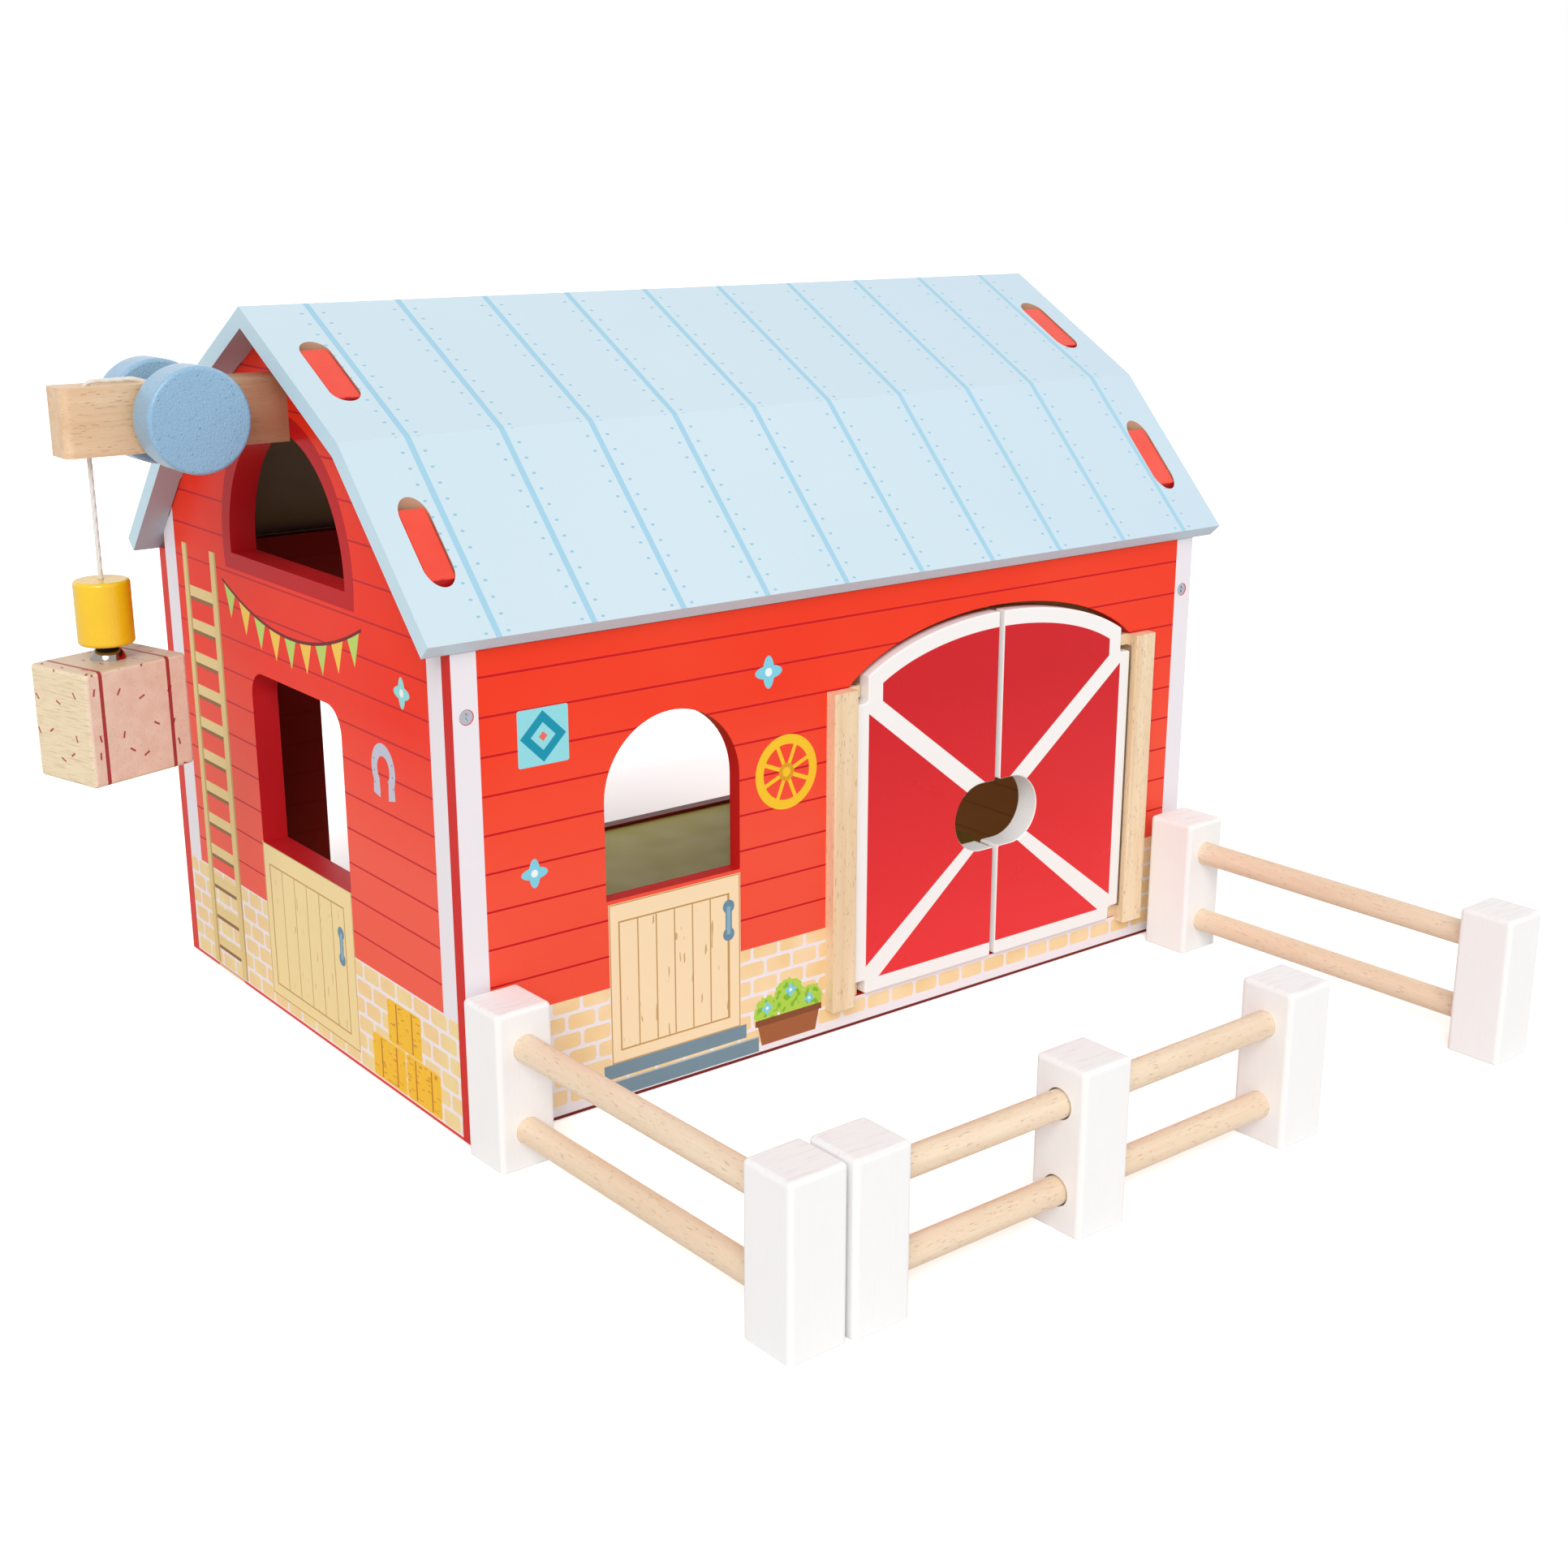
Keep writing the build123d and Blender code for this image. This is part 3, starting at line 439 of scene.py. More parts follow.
def plank_door(s, u, left, right, bottom, top, panel, first, pitch, handle, tan=DOOR_TAN):
    """Printed half door with an upright handle. One seam between its planks is at first."""
    z = s.z
    s.paint(rect(u, z, left, right, bottom, top), tan)
    edge = abs(rect(u, z, left + 0.5, right - 0.5, bottom + 0.5, top - 0.5)) - 0.25
    s.paint(edge, TAN_LINE)
    field = rect(u, z, *panel)
    inside = s.cover(field + 0.3)
    s.paint(abs(field) - 0.35, TAN_LINE)
    s.paint(stripes(u, pitch, first) - 0.3, TAN_LINE, inside)
    grain = s.vector("MULTIPLY", s.place, (1.0, 1.0, 0.16))
    ticks = s.spread(s.noise(grain, 0.62, 1, 0.4), 0.705, 0.73)
    s.tint(ticks * inside * 0.75, TAN_LINE)
    middle, low, high = handle
    bar = rect(u, z, middle - 1.7, middle + 1.7, low, high)
    ends = least(disc(u, z, middle, low, 3.0), disc(u, z, middle, high, 3.0))
    s.paint(least(bar, ends), srgb(110, 145, 165))
    s.paint(rect(u, z, middle - 1.0, middle + 1.0, low, high), srgb(140, 180, 200))


def blossom(s, u, v, cu, cv, size, petals, heart):
    """Plain four-petalled flower."""
    narrow = size * 0.42
    s.paint(least(oval(u, v, cu, cv, size, narrow), oval(u, v, cu, cv, narrow, size)), petals)
    s.paint(disc(u, v, cu, cv, size * 0.26), heart)


def faced(name, edge, inner, axis, side, draw, reveal=None):
    """Board material with its own outer face, inner face and edges."""
    s = Surface(name, edge, 0.30, specular=0.12)
    draw(s)
    printed = s.color
    s.color = inner
    s.tint(s.cover(stripes(s.z, *BOARDS) - 0.4) * 0.3, srgb(120, 24, 28))
    inside = s.color
    if reveal:  # the opening's sides, short of the board's ends
        edge = s.blend(s.math("LESS_THAN", abs(s.x), 200.0), edge, reveal)
    outwards = (s.x if axis == "x" else s.y) * side
    outer_face, inner_face = BOARD_FACES[axis]
    s.color = s.blend(s.math("LESS_THAN", outwards, inner_face + SKIN), edge, inside)
    s.color = s.blend(s.math("GREATER_THAN", outwards, outer_face - SKIN), s.color, printed)
    orange_peel(s, 0.35, 1.0)
    return s.finish(0.000012, 0.02)


def wagon_wheel(s, u, v, cu, cv):
    yellow = srgb(250, 200, 46)
    s.paint(abs(disc(u, v, cu, cv, 14.4)) - 2.1, yellow)
    rim = s.cover(disc(u, v, cu, cv, 14.0))
    for k in range(4):
        a = math.radians(22.5 + 45 * k)
        s.paint(abs((u - cu) * math.sin(a) - (v - cv) * math.cos(a)) - 0.9, yellow, rim)
    s.paint(disc(u, v, cu, cv, 4.0), srgb(224, 160, 38))
    s.paint(disc(u, v, cu, cv, 2.1), yellow)


def quilt_block(s, u, v, cu, cv):
    pale, half = srgb(150, 222, 230), 11.5
    s.paint(rect(u, v, cu - half, cu + half, cv - half, cv + half, 1.0), pale)
    diamond = abs(u - cu) + abs(v - cv)
    for size, color in ((10.4, srgb(28, 150, 178)), (5.6, pale), (2.0, srgb(240, 110, 100))):
        s.paint(diamond - size, color)


def clipped_bushes(s, u, v):
    """Three bushes in a wooden trough."""
    leaves = least(disc(u, v, -57.0, 19.5, 7.0), disc(u, v, -45.0, 23.5, 8.6),
                   disc(u, v, -33.0, 19.5, 7.0))
    wave = s.spread(s.noise(s.place, 0.5, 1), 0.3, 0.7, -0.8, 0.8)
    s.paint(leaves - wave, srgb(178, 216, 80))
    dots = s.spread(s.noise(s.place, 0.36, 0, 0.0), 0.54, 0.6)
    s.tint(dots * s.cover(leaves + 1.4), srgb(132, 190, 58))
    s.paint(outline(u, v, [(-60.0, 4.0), (-30.0, 4.0), (-27.5, 15.0), (-62.5, 15.0)]),
            srgb(166, 98, 62))
    s.paint(rect(u, v, -63.5, -26.5, 13.2, 16.2), srgb(140, 80, 50))


def draw_front(s):
    x, z = s.x, s.z
    cladding(s, x, **WALL_CLADDING)
    wagon_wheel(s, x, z, -46.5, 127.0)
    quilt_block(s, x, z, -166.0, 163.0)
    clipped_bushes(s, x, z)
    for cu, cv, size in ((-172.0, 108.0, 6.0), (-56.0, 172.0, 7.0), (-57.0, 21.0, 3.0),
                         (-44.0, 26.5, 3.2), (-33.5, 20.0, 2.8)):
        blossom(s, x, z, cu, cv, size, srgb(130, 212, 232), srgb(244, 248, 250))
    plank_door(s, x, -138.2, -71.4, 16.4, 87.0, (-133.2, -77.5, 22.2, 78.7), -124.0, 9.2,
               (-77.6, 60.5, 73.0))
    steps = srgb(122, 146, 160)
    s.paint(rect(x, z, -142.0, -68.4, 10.2, 16.6), steps)
    s.paint(rect(x, z, -147.0, -61.6, 1.8, 8.4), steps)
    s.paint(rect(x, z, -147.0, -61.6, 8.5, 9.0), srgb(175, 190, 200))


def pennants(s, u, v):
    """String of pennants in a swag, in two colours by turns."""
    string = v - s.math("MULTIPLY_ADD", u, u * 0.0034, 182.0)
    strung = s.cover(abs(u) - 67.5)
    flags = most((stripes(u, 15.0, 0.0) - string * 0.42) - 5.6, string, (0 - string) - 14.0)
    s.paint(flags, srgb(192, 222, 108), strung)
    s.paint(flags, srgb(250, 208, 84), s.cover(7.5 - stripes(u, 30.0, 0.0)) * strung)
    s.paint(abs(string) - 0.7, srgb(120, 24, 34), strung)


def horseshoe(s, u, v):
    ring = abs(oval(u, v, -79.8, 142.5, 7.6, 8.4)) - 2.4
    legs = least(outline(u, v, [(-89.0, 131.5), (-83.2, 130.2), (-84.2, 138.6), (-88.2, 140.0)]),
                 outline(u, v, [(-76.2, 130.2), (-70.6, 131.5), (-71.6, 140.0), (-75.6, 138.6)]))
    opening = outline(u, v, [(-83.0, 128.0), (-76.8, 128.0), (-76.0, 138.0), (-83.8, 138.0)])
    shoe = least(most(ring, 0 - opening), legs)
    s.paint(shoe, srgb(198, 200, 216))
    nails = disc(stripes(u, 15.2, -79.8), stripes(v, 5.0, 1.0), 7.6, 0.0, 0.45)
    s.paint(most(nails, shoe + 0.8), srgb(140, 142, 165))


def straw_bales(s, u, v):
    """Two side by side and one on top."""
    straw, twine = srgb(250, 196, 46), srgb(196, 124, 30)
    for left, right, low, high in ((-85.0, -56.0, 2.0, 21.6), (-115.0, -86.0, 2.0, 21.6),
                                   (-100.0, -71.0, 22.2, 41.8)):
        bale = rect(u, v, left, right, low, high, 1.6)
        s.paint(bale, straw)
        inside = s.cover(bale + 0.8)
        for share in (0.27, 0.73):
            s.paint(abs(u - (left + (right - left) * share)) - 0.55, twine, inside)
        blades = s.vector("MULTIPLY", s.place, (1.0, 0.22, 1.0))
        s.tint(s.spread(s.noise(blades, 0.8, 1, 0.4), 0.62, 0.66) * inside * 0.7, twine)


def ladder(s, u, v):
    """Rungs and their shadows, then two rails with a shaded side."""
    pitch = 15.66
    rungs = rect(u, stripes(v, pitch, 186.3), 78.0, 107.5, -2.5, 2.5)
    shadow = rect(u, stripes(v, pitch, 183.3), 79.6, 106.5, -1.3, 1.3)
    s.paint(most(shadow, v - 186.0), srgb(150, 104, 60))
    s.paint(most(rungs, v - 190.0), srgb(238, 210, 146))
    for outer, core, inner in ((111.0, 106.9, 105.2), (80.0, 75.0, 73.4)):
        s.paint(rect(u, v, inner, outer, 1.8, 208.0), srgb(232, 204, 138))
        s.paint(rect(u, v, inner, core, 1.8, 208.0), srgb(194, 162, 98))


def draw_gable(s):
    y, z = s.y, s.z
    cladding(s, y, ((-132, -120.4), (119.0, 131.6)), **GABLE_CLADDING)
    loft_frame = most(disc(y, z, 0, 215.0, 63.0), 203.8 - z)
    s.paint(loft_frame, DEEP_RED)
    pennants(s, y, z)
    horseshoe(s, y, z)
    blossom(s, y, z, -99.0, 178.0, 6.4, srgb(150, 226, 224), srgb(245, 250, 250))
    straw_bales(s, y, z)
    ladder(s, y, z)
    plank_door(s, y, -43.4, 44.6, 6.4, 80.4, (-35.0, 38.6, 12.6, 70.6), 1.4, 12.3,
               (-31.0, 46.0, 58.0), srgb(246, 222, 162))


def draw_back(s):
    cladding(s, s.x, **WALL_CLADDING)


def draw_plain_gable(s):
    cladding(s, s.y, ((-132, -120.4), (120.4, 132)), **GABLE_CLADDING)


def wear_material(pieces, material):
    """Gives a material to nodes, by name, or to pieces made here."""
    for piece in pieces if isinstance(pieces, list) else [pieces]:
        mesh = (nodes[piece] if isinstance(piece, str) else piece).data
        mesh.materials.clear()
        mesh.materials.append(material)


def reshaped(node, name, move):
    """A copy of a packed board, with some of its corners moved."""
    mesh = nodes[node].data.copy()
    mesh.name = name
    for vertex in mesh.vertices:
        move(vertex.co)
    board = bpy.data.objects.new(name, mesh)
    add_to_scene(board)
    return board


def lower_head(corner):
    """Puts the opening's head where the loft window's view has it, and meets the roof."""
    if corner.z > 0.2:
        corner.z += 0.0003
    elif abs(corner.x) < 0.1325 and corner.z > 0.170:
        corner.z -= 0.0163


def raise_top(corner):
    """Puts the floor's top just under the sill, as the view through the window has it."""
    if corner.z > 0.005:
        corner.z = 0.0143


def square_tabs(side):
    """Square ends for the four tabs of one gable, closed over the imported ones."""
    outer_face, inner_face = BOARD_FACES["x"]
    margin, sunk, top, rounding = 0.04, 7.4, 0.5, 0.6
    inner, outer = side * (inner_face - margin), side * (outer_face + margin)
    shape = bmesh.new()
    for (y0, z0), (y1, z1), start, end in ((RIDGE, BEND, 27.4, 56.15), (BEND, EAVE, 103.0, 125.4)):
        fall = (z1 - z0) / (y1 - y0)
        steep = math.hypot(1, fall)
        for face in (-1, 1):
            corners = []
            for depth, out in ((sunk, start), (sunk, end), (top, end), (top, start)):
                corners.append((face * out, z0 + fall * (out - y0) - depth * steep))
            near, far = ([shape.verts.new((x / MM, y / MM, z / MM)) for y, z in corners]
                         for x in (inner, outer))
            shape.faces.new(near)
            shape.faces.new(far[::-1])
            for k in range(4):
                n = (k + 1) % 4
                shape.faces.new((near[k], far[k], far[n], near[n]))
    bmesh.ops.recalc_face_normals(shape, faces=shape.faces)
    bmesh.ops.bevel(shape, geom=shape.edges[:], offset=rounding / MM, segments=3,
                    affect="EDGES", profile=0.5)
    mesh = bpy.data.meshes.new("roof_tabs")
    shape.to_mesh(mesh)
    shape.free()
    tabs = bpy.data.objects.new(f"roof_tabs_{'left' if side < 0 else 'right'}", mesh)
    add_to_scene(tabs)
    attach(tabs, "barn")
    return tabs


def tab_paint():
    s = Surface("tab_paint", srgb(236, 70, 50), 0.3, specular=0.3)
    s.mottle(0.08, 0.4, srgb(248, 88, 64))
    # painted shade: the tabs' sides and ends a darker red than their tops
    s.tint(s.math("LESS_THAN", s.nz, 0.25), srgb(190, 24, 26))
    s.raised(s.noise(s.vector("MULTIPLY", s.place, (1.0, 0.2, 0.2)), 0.8, 3), 1.0)
    return s.finish(0.00008, 0.05)


back_wall = reshaped("back_wall", "back_wall_board", lower_head)
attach(back_wall, "barn")
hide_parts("back_wall")
wear_material([square_tabs(-1), square_tabs(1)], tab_paint())
wear_material("front_wall", faced("front_wall_print", srgb(214, 36, 32), INSIDE_RED, "y", -1,
                                  draw_front))
# the back wall's opening sides get a deep red, partly their edge paint and partly painted shade
wear_material(back_wall, faced("back_wall_print", srgb(226, 52, 38), INSIDE_RED, "y", 1,
                               draw_back, srgb(128, 26, 24)))
wear_material("right_gable", faced("right_gable_print", srgb(236, 66, 44), srgb(214, 146, 84),
                                   "x", 1, draw_plain_gable))
wear_material("left_gable", faced("hoist_gable_print", srgb(214, 34, 42), INSIDE_RED, "x", -1,
                                  draw_gable))


def floor_paint():
    s = Surface("floor_olive_paint", srgb(218, 203, 98), 0.45, specular=0.3)
    s.mottle(0.03, 0.5, srgb(204, 188, 88), detail=3)
    orange_peel(s, 0.6)
    return s.finish(0.00005, 0.06)


floor_board = reshaped("base_floor", "base_board", raise_top)
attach(floor_board, "barn")
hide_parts("base_floor")
wear_material(floor_board, floor_paint())


def roof_paint():
    s = Surface("roof_paint", srgb(206, 225, 234), 0.38, specular=0.35)
    s.mottle(0.01, 0.35, srgb(198, 220, 232), low=0.35)
    # painted shade: the roof darker and bluer towards its right end
    s.tint(s.spread(s.x, -60.0, 210.0) * 0.4, srgb(184, 208, 226))
    out = abs(s.y)
    # distance down each slope's face, for the rows of rivets
    slope_upper, slope_lower = 29.6, 46.7
    lower = s.math("GREATER_THAN", out, BEND[0])
    upper_run = (BEND[0] - out) * (1 / math.cos(math.radians(slope_upper)))
    lower_run = (EAVE[0] - out) * (1 / math.cos(math.radians(slope_lower)))
    run = s.math("MULTIPLY_ADD", lower, lower_run - upper_run, upper_run)
    # the printed seams drift a little from ridge to eave
    drift, pitch = out / 145.0, 41.8
    seam = stripes((s.x - drift * 2.3) * (1.0 - drift * 0.006), pitch, pitch / 2)
    outer = s.math("GREATER_THAN", s.nz, 0.3)
    s.paint(seam - 1.35, srgb(160, 205, 226), outer)
    rivet = oval(seam, stripes(run, 7.6, 2.3), 4.8, 0.0, 0.85, 0.55)
    s.paint(rivet, srgb(150, 196, 217), outer)
    s.raised(s.cover(rivet) * outer, 0.25)
    # sawn edges under one coat, bare wood in the slots, and the underside, darker inside the barn:
    # partly unprinted board, partly painted shade
    flat = s.math("LESS_THAN", abs(s.nz), 0.12)
    ends = s.math("GREATER_THAN", abs(s.x), 217.0)
    fibre = s.noise(s.vector("MULTIPLY", s.place, (1, 0.15, 0.15)), 1.2, 2)
    under = s.math("LESS_THAN", s.nz, -0.3)
    eaves = s.math("GREATER_THAN", out, 139.9)
    s.tint(under * (1.0 - eaves), srgb(178, 183, 192))
    # painted shade with the unprinted board's brown: the underside inside the barn, out to the
    # walls' outer faces
    inside = s.math("LESS_THAN", abs(s.x), 193.0) * (1.0 - eaves)
    s.tint(under * inside, srgb(140, 126, 114))
    s.tint(flat * (1.0 - ends), srgb(196, 150, 120))
    s.tint(ends, srgb(200, 227, 239))
    s.raised(fibre * ends, 0.6)
    orange_peel(s, 0.55, 0.6)
    return s.finish(0.00008, 0.05)


wear_material(["roof_front_upper", "roof_front_lower", "roof_back_upper", "roof_back_lower"],
              roof_paint())


# ---------------------------------------------------------------- doors
def leaf_face(side):
    """White bars and red fields on the front board of one leaf, the right one mirrored."""
    s = Surface(f"leaf_front_{'left' if side < 0 else 'right'}", srgb(249, 247, 245), 0.3,
                specular=0.22)
    middle = 75.5
    u = s.x if side < 0 else 2 * middle - s.x
    z = s.z
    front = s.math("LESS_THAN", s.ny, -0.75)
    arch = oval(u, z, middle, 133.5, 90.3, 40.9)
    upper = most(arch, 4.5 - u, side_of(u, z, (4.6, 150.6), (67.6, 102.0)), 101.9 - z)
    outer = most(-3.3 - u, side_of(u, z, (56.2, 99.4), (-0.1, 143.6)),
                 side_of(u, z, (-1.7, 29.4), (55.7, 72.9)))
    bottom = most(21.8 - z, z - 69.9, side_of(u, z, (62.0, 70.0), (4.5, 22.0)))
    fields = least(upper, outer, bottom)
    s.tint(s.spread(s.noise(s.place, 0.35, 4, 0.7), 0.62, 0.8) * 0.18, srgb(222, 208, 200))
    # painted reflection: the red fields paler low down, deeper towards the top
    red = s.blend(s.spread(z, 30.0, 150.0), srgb(238, 50, 54), srgb(210, 26, 36))
    s.paint(fields, red, front)
    s.raised(s.noise(s.place, 0.6, 2), 0.5)
    return s.finish(0.00003, 0.03)


wear_material("door_left_front_board", leaf_face(-1))
wear_material("door_right_front_board", leaf_face(1))


def leaf_back():
    s = Surface("leaf_back_stain", (0, 0, 0, 1), 0.45)
    grained(s, "z", (208, 176, 148), (172, 128, 98), 0.8)
    reveal = rect(s.x, s.z, 49.0, 102.0, 68.0, 103.0, 10.0)
    s.tint(s.cover(reveal) * s.math("LESS_THAN", abs(s.ny), 0.5), srgb(249, 247, 245))
    return s.finish(0.00008, 0.05)


wear_material(["door_left_back_board", "door_right_back_board"], leaf_back())


def clear_wood(name, along, light, dark, strength=0.8, roughness=0.42, seed=0.0, pores=0.3):
    s = Surface(name, (0, 0, 0, 1), roughness)
    grained(s, along, light, dark, strength, pores, seed)
    return s.finish(0.0001, 0.05)


wear_material("door_jamb_left",
              clear_wood("jamb_wood_left", "z", (250, 228, 194), (228, 193, 148), 0.8, seed=11,
                         pores=0.45))
wear_material("door_jamb_right",
              clear_wood("jamb_wood_right", "z", (250, 228, 194), (224, 187, 140), 0.8, seed=47,
                         pores=0.45))


def beam_wood():
    s = Surface("beam_wood", (0, 0, 0, 1), 0.4)
    grained(s, "x", (244, 213, 174), (221, 178, 138), 0.9, 0.32, 23)
    # painted shade: the beam darkens towards the gable, in the shade of the roof and the knob
    s.tint(s.spread(s.x, -246.0, -208.0) * 0.75, srgb(146, 84, 54))
    return s.finish(0.0001, 0.05)


wear_material("hoist_beam", beam_wood())
wear_material("hoist_axle", clear_wood("axle_wood", "y", (226, 190, 146), (205, 160, 115), 0.6))


# ---------------------------------------------------------------- metal, knobs, load
def bright_metal(name, color, roughness, scratch):
    s = Surface(name, color, roughness, metal=1.0)
    fine = s.noise(s.vector("MULTIPLY", s.place, (1, 1, 4)), scratch, 3, 0.6)
    s.tint(s.spread(fine, 0.35, 0.7) * 0.4, srgb(150, 155, 165))
    s.raised(fine, 0.4)
    return s.finish(0.00002, 0.05)


wear_material([f"wall_screw_{k}" for k in range(1, 9)] + ["beam_screw"]
              + [f"door_pin_{a}_{b}" for a in ("left", "right") for b in ("lower", "upper")],
              bright_metal("zinc", srgb(218, 222, 230), 0.22, 2.0))
# painted reflection: the stud's base colour is darkened to stand for the dark surroundings its
# dome reflects
wear_material("bale_stud", bright_metal("nickel", srgb(158, 148, 138), 0.14, 0.8))


def knob_paint():
    s = Surface("knob_blue_paint", srgb(140, 184, 216), 0.34, coat=0.5)
    s.mottle(0.04, 0.4, srgb(150, 192, 222))
    # darker in the pits: painted shade
    pits = s.spread(s.noise(s.place, 1.1, 1, 0.4), 0.68, 0.76)
    s.tint(pits * 0.6, srgb(96, 138, 176))
    # painted glints: small pale specks over the blue paint
    s.tint(s.spread(s.noise(s.place, 2.2, 1, 0.4), 0.62, 0.72) * 0.35, srgb(182, 212, 234))
    s.raised(pits, -0.6)
    orange_peel(s, 1.5, 1.7)
    return s.finish(0.0002, 0.06)


wear_material(["knob_front", "knob_back"], knob_paint())


def holder_paint():
    s = Surface("holder_yellow_paint", srgb(250, 203, 20), 0.26, coat=0.4)
    s.mottle(0.1, 0.4, srgb(242, 192, 22), low=0.35)
    turned = s.noise(s.vector("MULTIPLY", s.place, (0.5, 0.5, 0.08)), 1.2, 3, 0.6)
    s.raised(turned, 1.2)
    orange_peel(s, 0.7, 0.6)
    return s.finish(0.00012, 0.05)


wear_material("magnet_holder", holder_paint())


def magnet_skin():
    s = Surface("magnet_skin", srgb(70, 70, 74), 0.5, metal=0.6)
    orange_peel(s, 2.0)
    return s.finish(0.00003)


wear_material("magnet", magnet_skin())


def cord_yarn():
    s = Surface("cord_yarn", srgb(238, 236, 230), 0.75)
    fuzz = s.noise(s.place, 3.0, 2)
    s.tint(s.spread(fuzz, 0.3, 0.7) * 0.35, srgb(205, 200, 190))
    s.shader.inputs["Sheen Weight"].default_value = 0.3
    s.raised(fuzz)
    return s.finish(0.0001)


yarn = cord_yarn()
wear_material("cord_knot", yarn)


def bale_print():
    """Lacquered wood with two straps and scattered straw dashes."""
    s = Surface("bale_wood_print", (0, 0, 0, 1), 0.42)
    turn = math.radians(16.2)
    px, py = s.x - CORD_X, s.y - CORD_Y
    along = px * math.cos(turn) + py * math.sin(turn)
    side = py * math.cos(turn) - px * math.sin(turn)
    grained(s, "y", (246, 227, 206), (233, 202, 179), 0.8, 0.35, 71, s.join(along, side, s.z))
    facing = s.nx * math.cos(turn) + s.ny * math.sin(turn)
    short_face = s.math("GREATER_THAN", abs(facing), 0.7)
    top_face = s.math("GREATER_THAN", abs(s.nz), 0.7)
    s.tint(short_face * 0.7, srgb(238, 220, 178))
    lines = s.noise(s.join(along * 0.05, side * 0.05, s.z), 1.6, 3, 0.6)
    s.tint(s.spread(lines, 0.5, 0.66) * short_face * 0.5, srgb(196, 164, 118))
    s.tint(top_face * 0.45, srgb(206, 178, 136))
    red, half_strap = srgb(168, 26, 34), 0.85
    straps = least(abs(along + 17.3) - half_strap, abs(along - 14.6) - half_strap)
    s.tint(s.cover(straps) * (1.0 - short_face) * 0.95, red)
    # one dash in each Voronoi cell, turned by the cell's own colour
    a = s.math("MULTIPLY_ADD", short_face, side - along, along)
    b = s.math("MULTIPLY_ADD", top_face, side - s.z, s.z)
    pitch = 12.2
    cells = s.tree.nodes.new("ShaderNodeTexVoronoi")
    cells.voronoi_dimensions = "2D"
    cells.inputs["Scale"].default_value = 1 / pitch
    cells.inputs["Randomness"].default_value = 0.72
    flat = s.join(a, b, 0.0)
    s.feed(cells.inputs["Vector"], flat)
    fu, fv, _ = s.split(s.vector("SUBTRACT", flat, cells.outputs["Position"]))
    angle = s.split(cells.outputs["Color"])[0] * math.pi
    cosine, sine = s.math("COSINE", angle), s.math("SINE", angle)
    half_long, half_wide = 1.45, 0.42
    dash = most(abs(fu * cosine + fv * sine) - half_long, abs(fv * cosine - fu * sine) - half_wide)
    s.tint(s.cover(dash) * 0.9, red)
    return s.finish(0.0001, 0.05)


wear_material("bale_block", bale_print())


# ---------------------------------------------------------------- fences
def post_paint():
    s = Surface("post_white_paint", srgb(250, 249, 248), 0.5)
    grain = s.noise(s.vector("MULTIPLY", s.place, (1.0, 1.0, 0.06)), 0.9, 4, 0.65)
    s.tint(s.spread(grain, 0.5, 0.85) * 0.16, srgb(232, 227, 224))
    top = s.math("GREATER_THAN", s.nz, 0.6)
    end_grain = s.spread(s.noise(s.vector("MULTIPLY", s.place, (0.12, 1.0, 1.0)), 0.5, 3),
                         0.5, 0.72)
    s.tint(end_grain * top * 0.4, srgb(236, 214, 214))
    s.raised(grain, 0.8)
    orange_peel(s, 1.0, 0.4)
    return s.finish(0.00008, 0.05)


posts = [n for n in nodes if n.startswith("fence_") and "post" in n]
wear_material(posts, post_paint())
side_rails = clear_wood("rail_wood_side", "y", (246, 226, 200), (228, 198, 164), 0.75, 0.5, 5)
middle_rails = clear_wood("rail_wood_middle", "x", (246, 226, 200), (228, 196, 162), 0.75, 0.5, 9)
wear_material([n for n in nodes if "_rail_" in n and "middle" not in n], side_rails)
wear_material([n for n in nodes if "_rail_" in n and "middle" in n], middle_rails)


# ---------------------------------------------------------------- cord
def route_spline(points):
    """Smooth line through the cord's route, as points read from its NURBS spline."""
    curve = bpy.data.curves.new("route", "CURVE")
    curve.dimensions = "3D"
    spline = curve.splines.new("NURBS")
    spline.points.add(len(points) - 1)
    for control, place in zip(spline.points, points):
        control.co = (*(c / MM for c in place), 1)
    spline.order_u = 3
    spline.use_endpoint_u = True
    spline.resolution_u = 10
    bare = bpy.data.objects.new("route", curve)
    mesh = bpy.data.meshes.new_from_object(bare)
    line = [v.co.copy() for v in mesh.vertices]
    bpy.data.meshes.remove(mesh)
    bpy.data.objects.remove(bare)
    bpy.data.curves.remove(curve)
    return line


def even_line(line, step):
    """The same line with points about step apart."""
    points = np.array(line, float)
    gaps = np.linalg.norm(np.diff(points, axis=0), axis=1)
    along = np.concatenate([[0], np.cumsum(gaps)])
    at = np.linspace(0, along[-1], max(2, round(along[-1] / step) + 1))
    return [Vector([np.interp(t, along, points[:, k]) for k in range(3)]) for t in at]


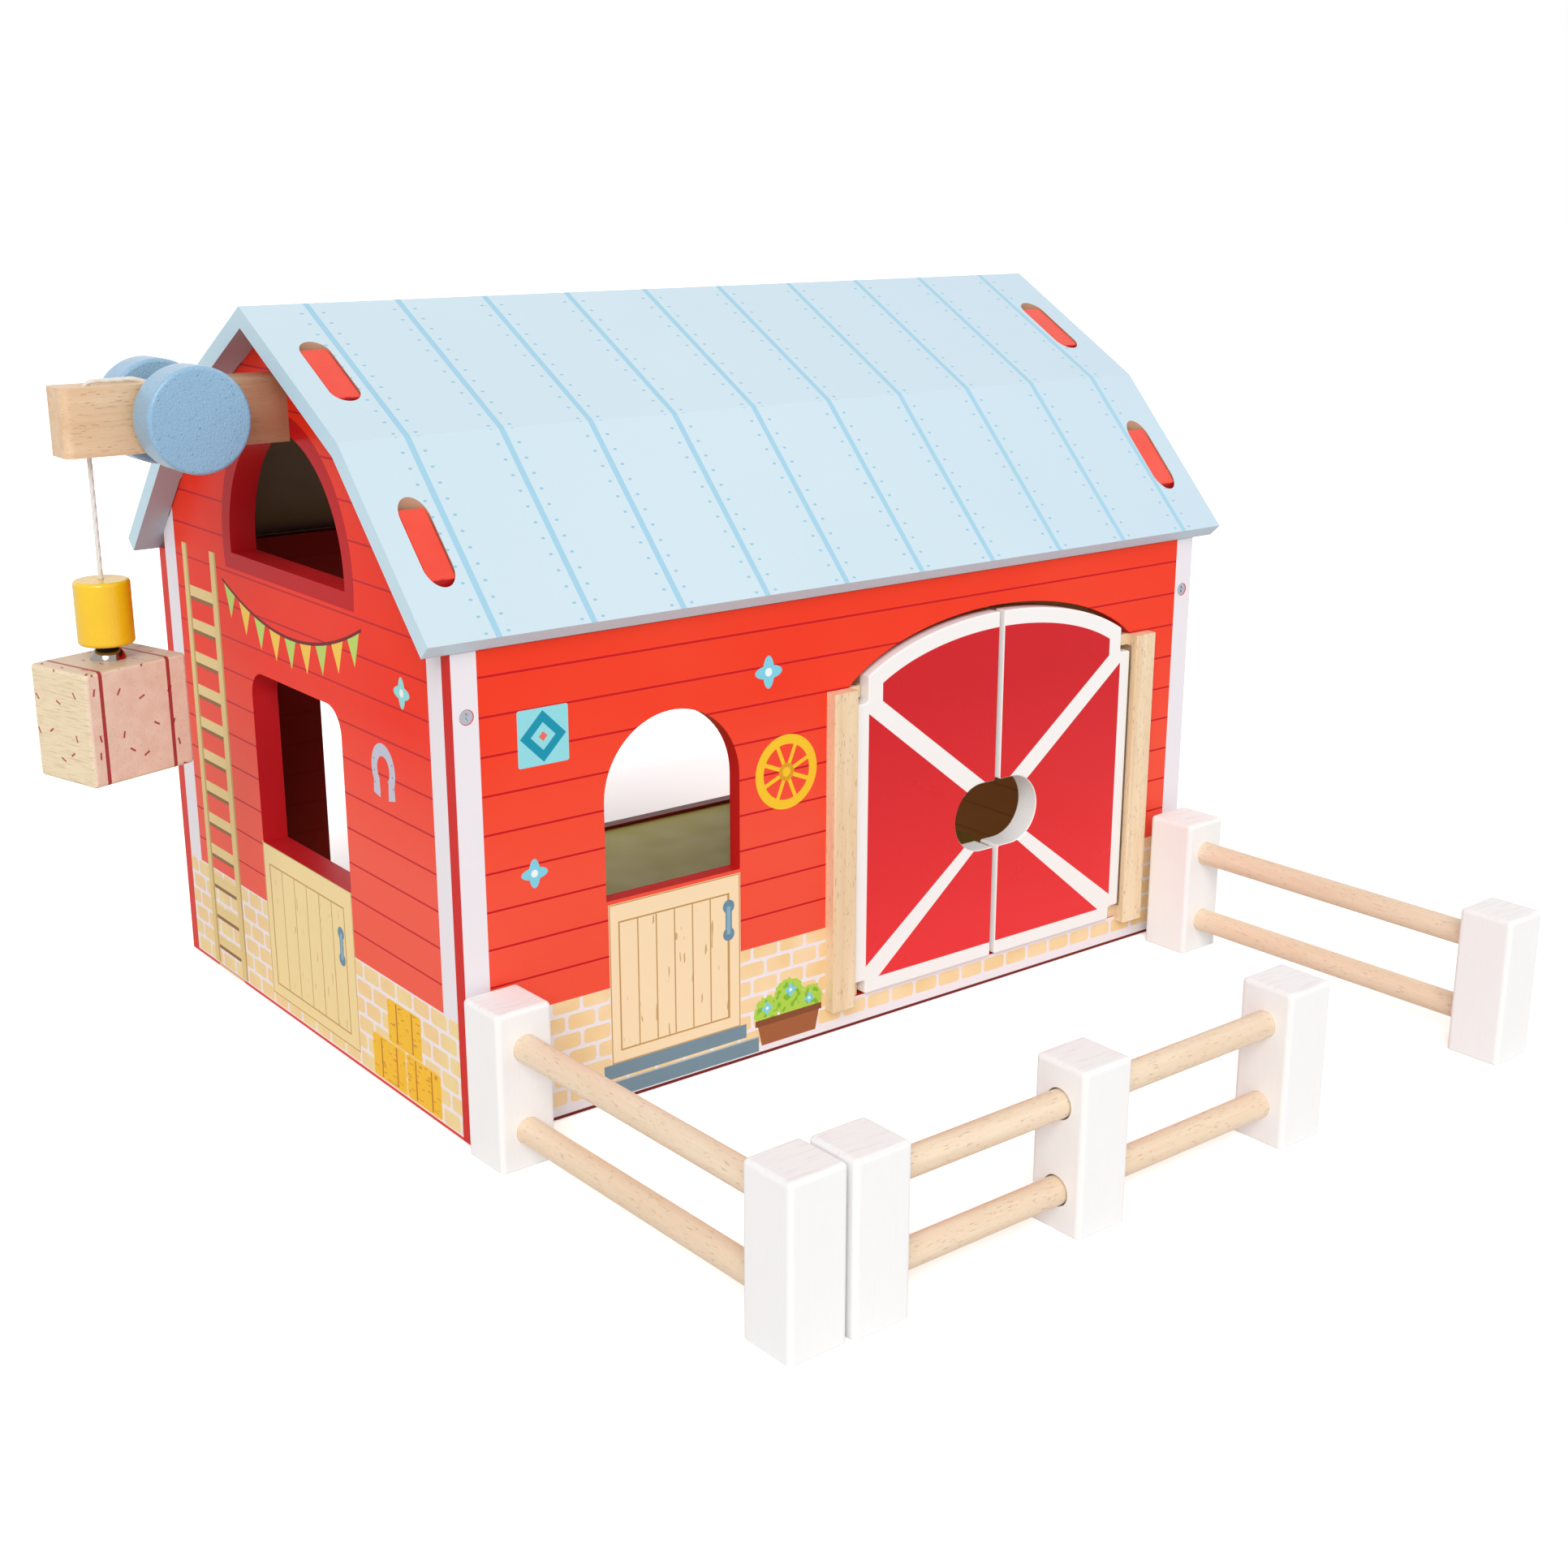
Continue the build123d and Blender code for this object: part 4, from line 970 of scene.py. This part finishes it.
def twisted_tube(name, line, radius, strands=3, lay_length=0.0052):
    """Laid cord: round strands that wind round each other along a line."""
    around, groove = 24, 0.20
    verts, faces = [], []
    tangent = (line[1] - line[0]).normalized()
    side = tangent.orthogonal().normalized()
    travel = 0.0
    for i, centre in enumerate(line):
        ahead, behind = line[min(i + 1, len(line) - 1)], line[max(i - 1, 0)]
        tangent = (ahead - behind).normalized()
        side = (side - tangent * side.dot(tangent)).normalized()
        other = tangent.cross(side)
        if i:
            travel += (centre - line[i - 1]).length
        spin = 2 * math.pi * travel / lay_length / strands
        for k in range(around):
            a = 2 * math.pi * k / around
            lobe = abs(math.cos(strands * (a - spin) / 2))
            r = radius * (1 - groove + groove * lobe)
            verts.append(centre + side * (r * math.cos(a)) + other * (r * math.sin(a)))
    for i in range(len(line) - 1):
        for k in range(around):
            n = (k + 1) % around
            faces.append((i * around + k, i * around + n,
                          (i + 1) * around + n, (i + 1) * around + k))
    faces.append(tuple(reversed(range(around))))
    last = (len(line) - 1) * around
    faces.append(tuple(last + k for k in range(around)))
    mesh = bpy.data.meshes.new(name)
    mesh.from_pydata([tuple(v) for v in verts], [], faces)
    mesh.polygons.foreach_set("use_smooth", [True] * len(mesh.polygons))
    mesh.materials.append(yarn)
    piece = bpy.data.objects.new(name, mesh)
    add_to_scene(piece)
    return piece


CORD_RADIUS, LINE_STEP = 0.001, 0.0005  # metres

# Hanging part, between the beam and the holder
drop_line = even_line(route_spline([(CORD_X, CORD_Y, BEAM_FOOT), (CORD_X, CORD_Y, 254.5),
                                    (CORD_X, CORD_Y, 230.0), (CORD_X, CORD_Y, HOLDER_TOP)]),
                      LINE_STEP)
cord_hanging = twisted_tube("cord_hanging", drop_line, CORD_RADIUS)
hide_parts("cord_drop")
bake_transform(cord_hanging)

# From the winding over the slot's edge, along the beam and down its hole
run_line = even_line(route_spline([(-246.42, CORD_Y, 284.69), (-260.2, CORD_Y, 294.75),
                                   (-272.2, CORD_Y, 294.3), (-285.1, CORD_Y, 294.9),
                                   (CORD_X, CORD_Y, 282.3), (CORD_X, CORD_Y, BEAM_FOOT)]),
                     LINE_STEP)
cord_over_beam = twisted_tube("cord_over_beam", run_line, CORD_RADIUS)
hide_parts("cord_run")
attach(cord_over_beam, "barn")

# Turns on the axle
TURNS, PER_TURN, WOUND_RADIUS, WOUND_WIDTH, FIRST_ANGLE = 4, 16, 6.06, 6.4, 54.5
wound = []
for k in range(TURNS * PER_TURN + 1):
    a = math.radians(FIRST_ANGLE) + 2 * math.pi * k / PER_TURN
    wound.append((AXLE_X + WOUND_RADIUS * math.cos(a),
                  CORD_Y - WOUND_WIDTH / 2 + WOUND_WIDTH * k / (TURNS * PER_TURN),
                  AXLE_Z + WOUND_RADIUS * math.sin(a)))
wound_line = even_line(route_spline(wound), LINE_STEP)
cord_turns = twisted_tube("cord_turns", wound_line, CORD_RADIUS)
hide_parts("cord_winding")
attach(cord_turns, "windlass")
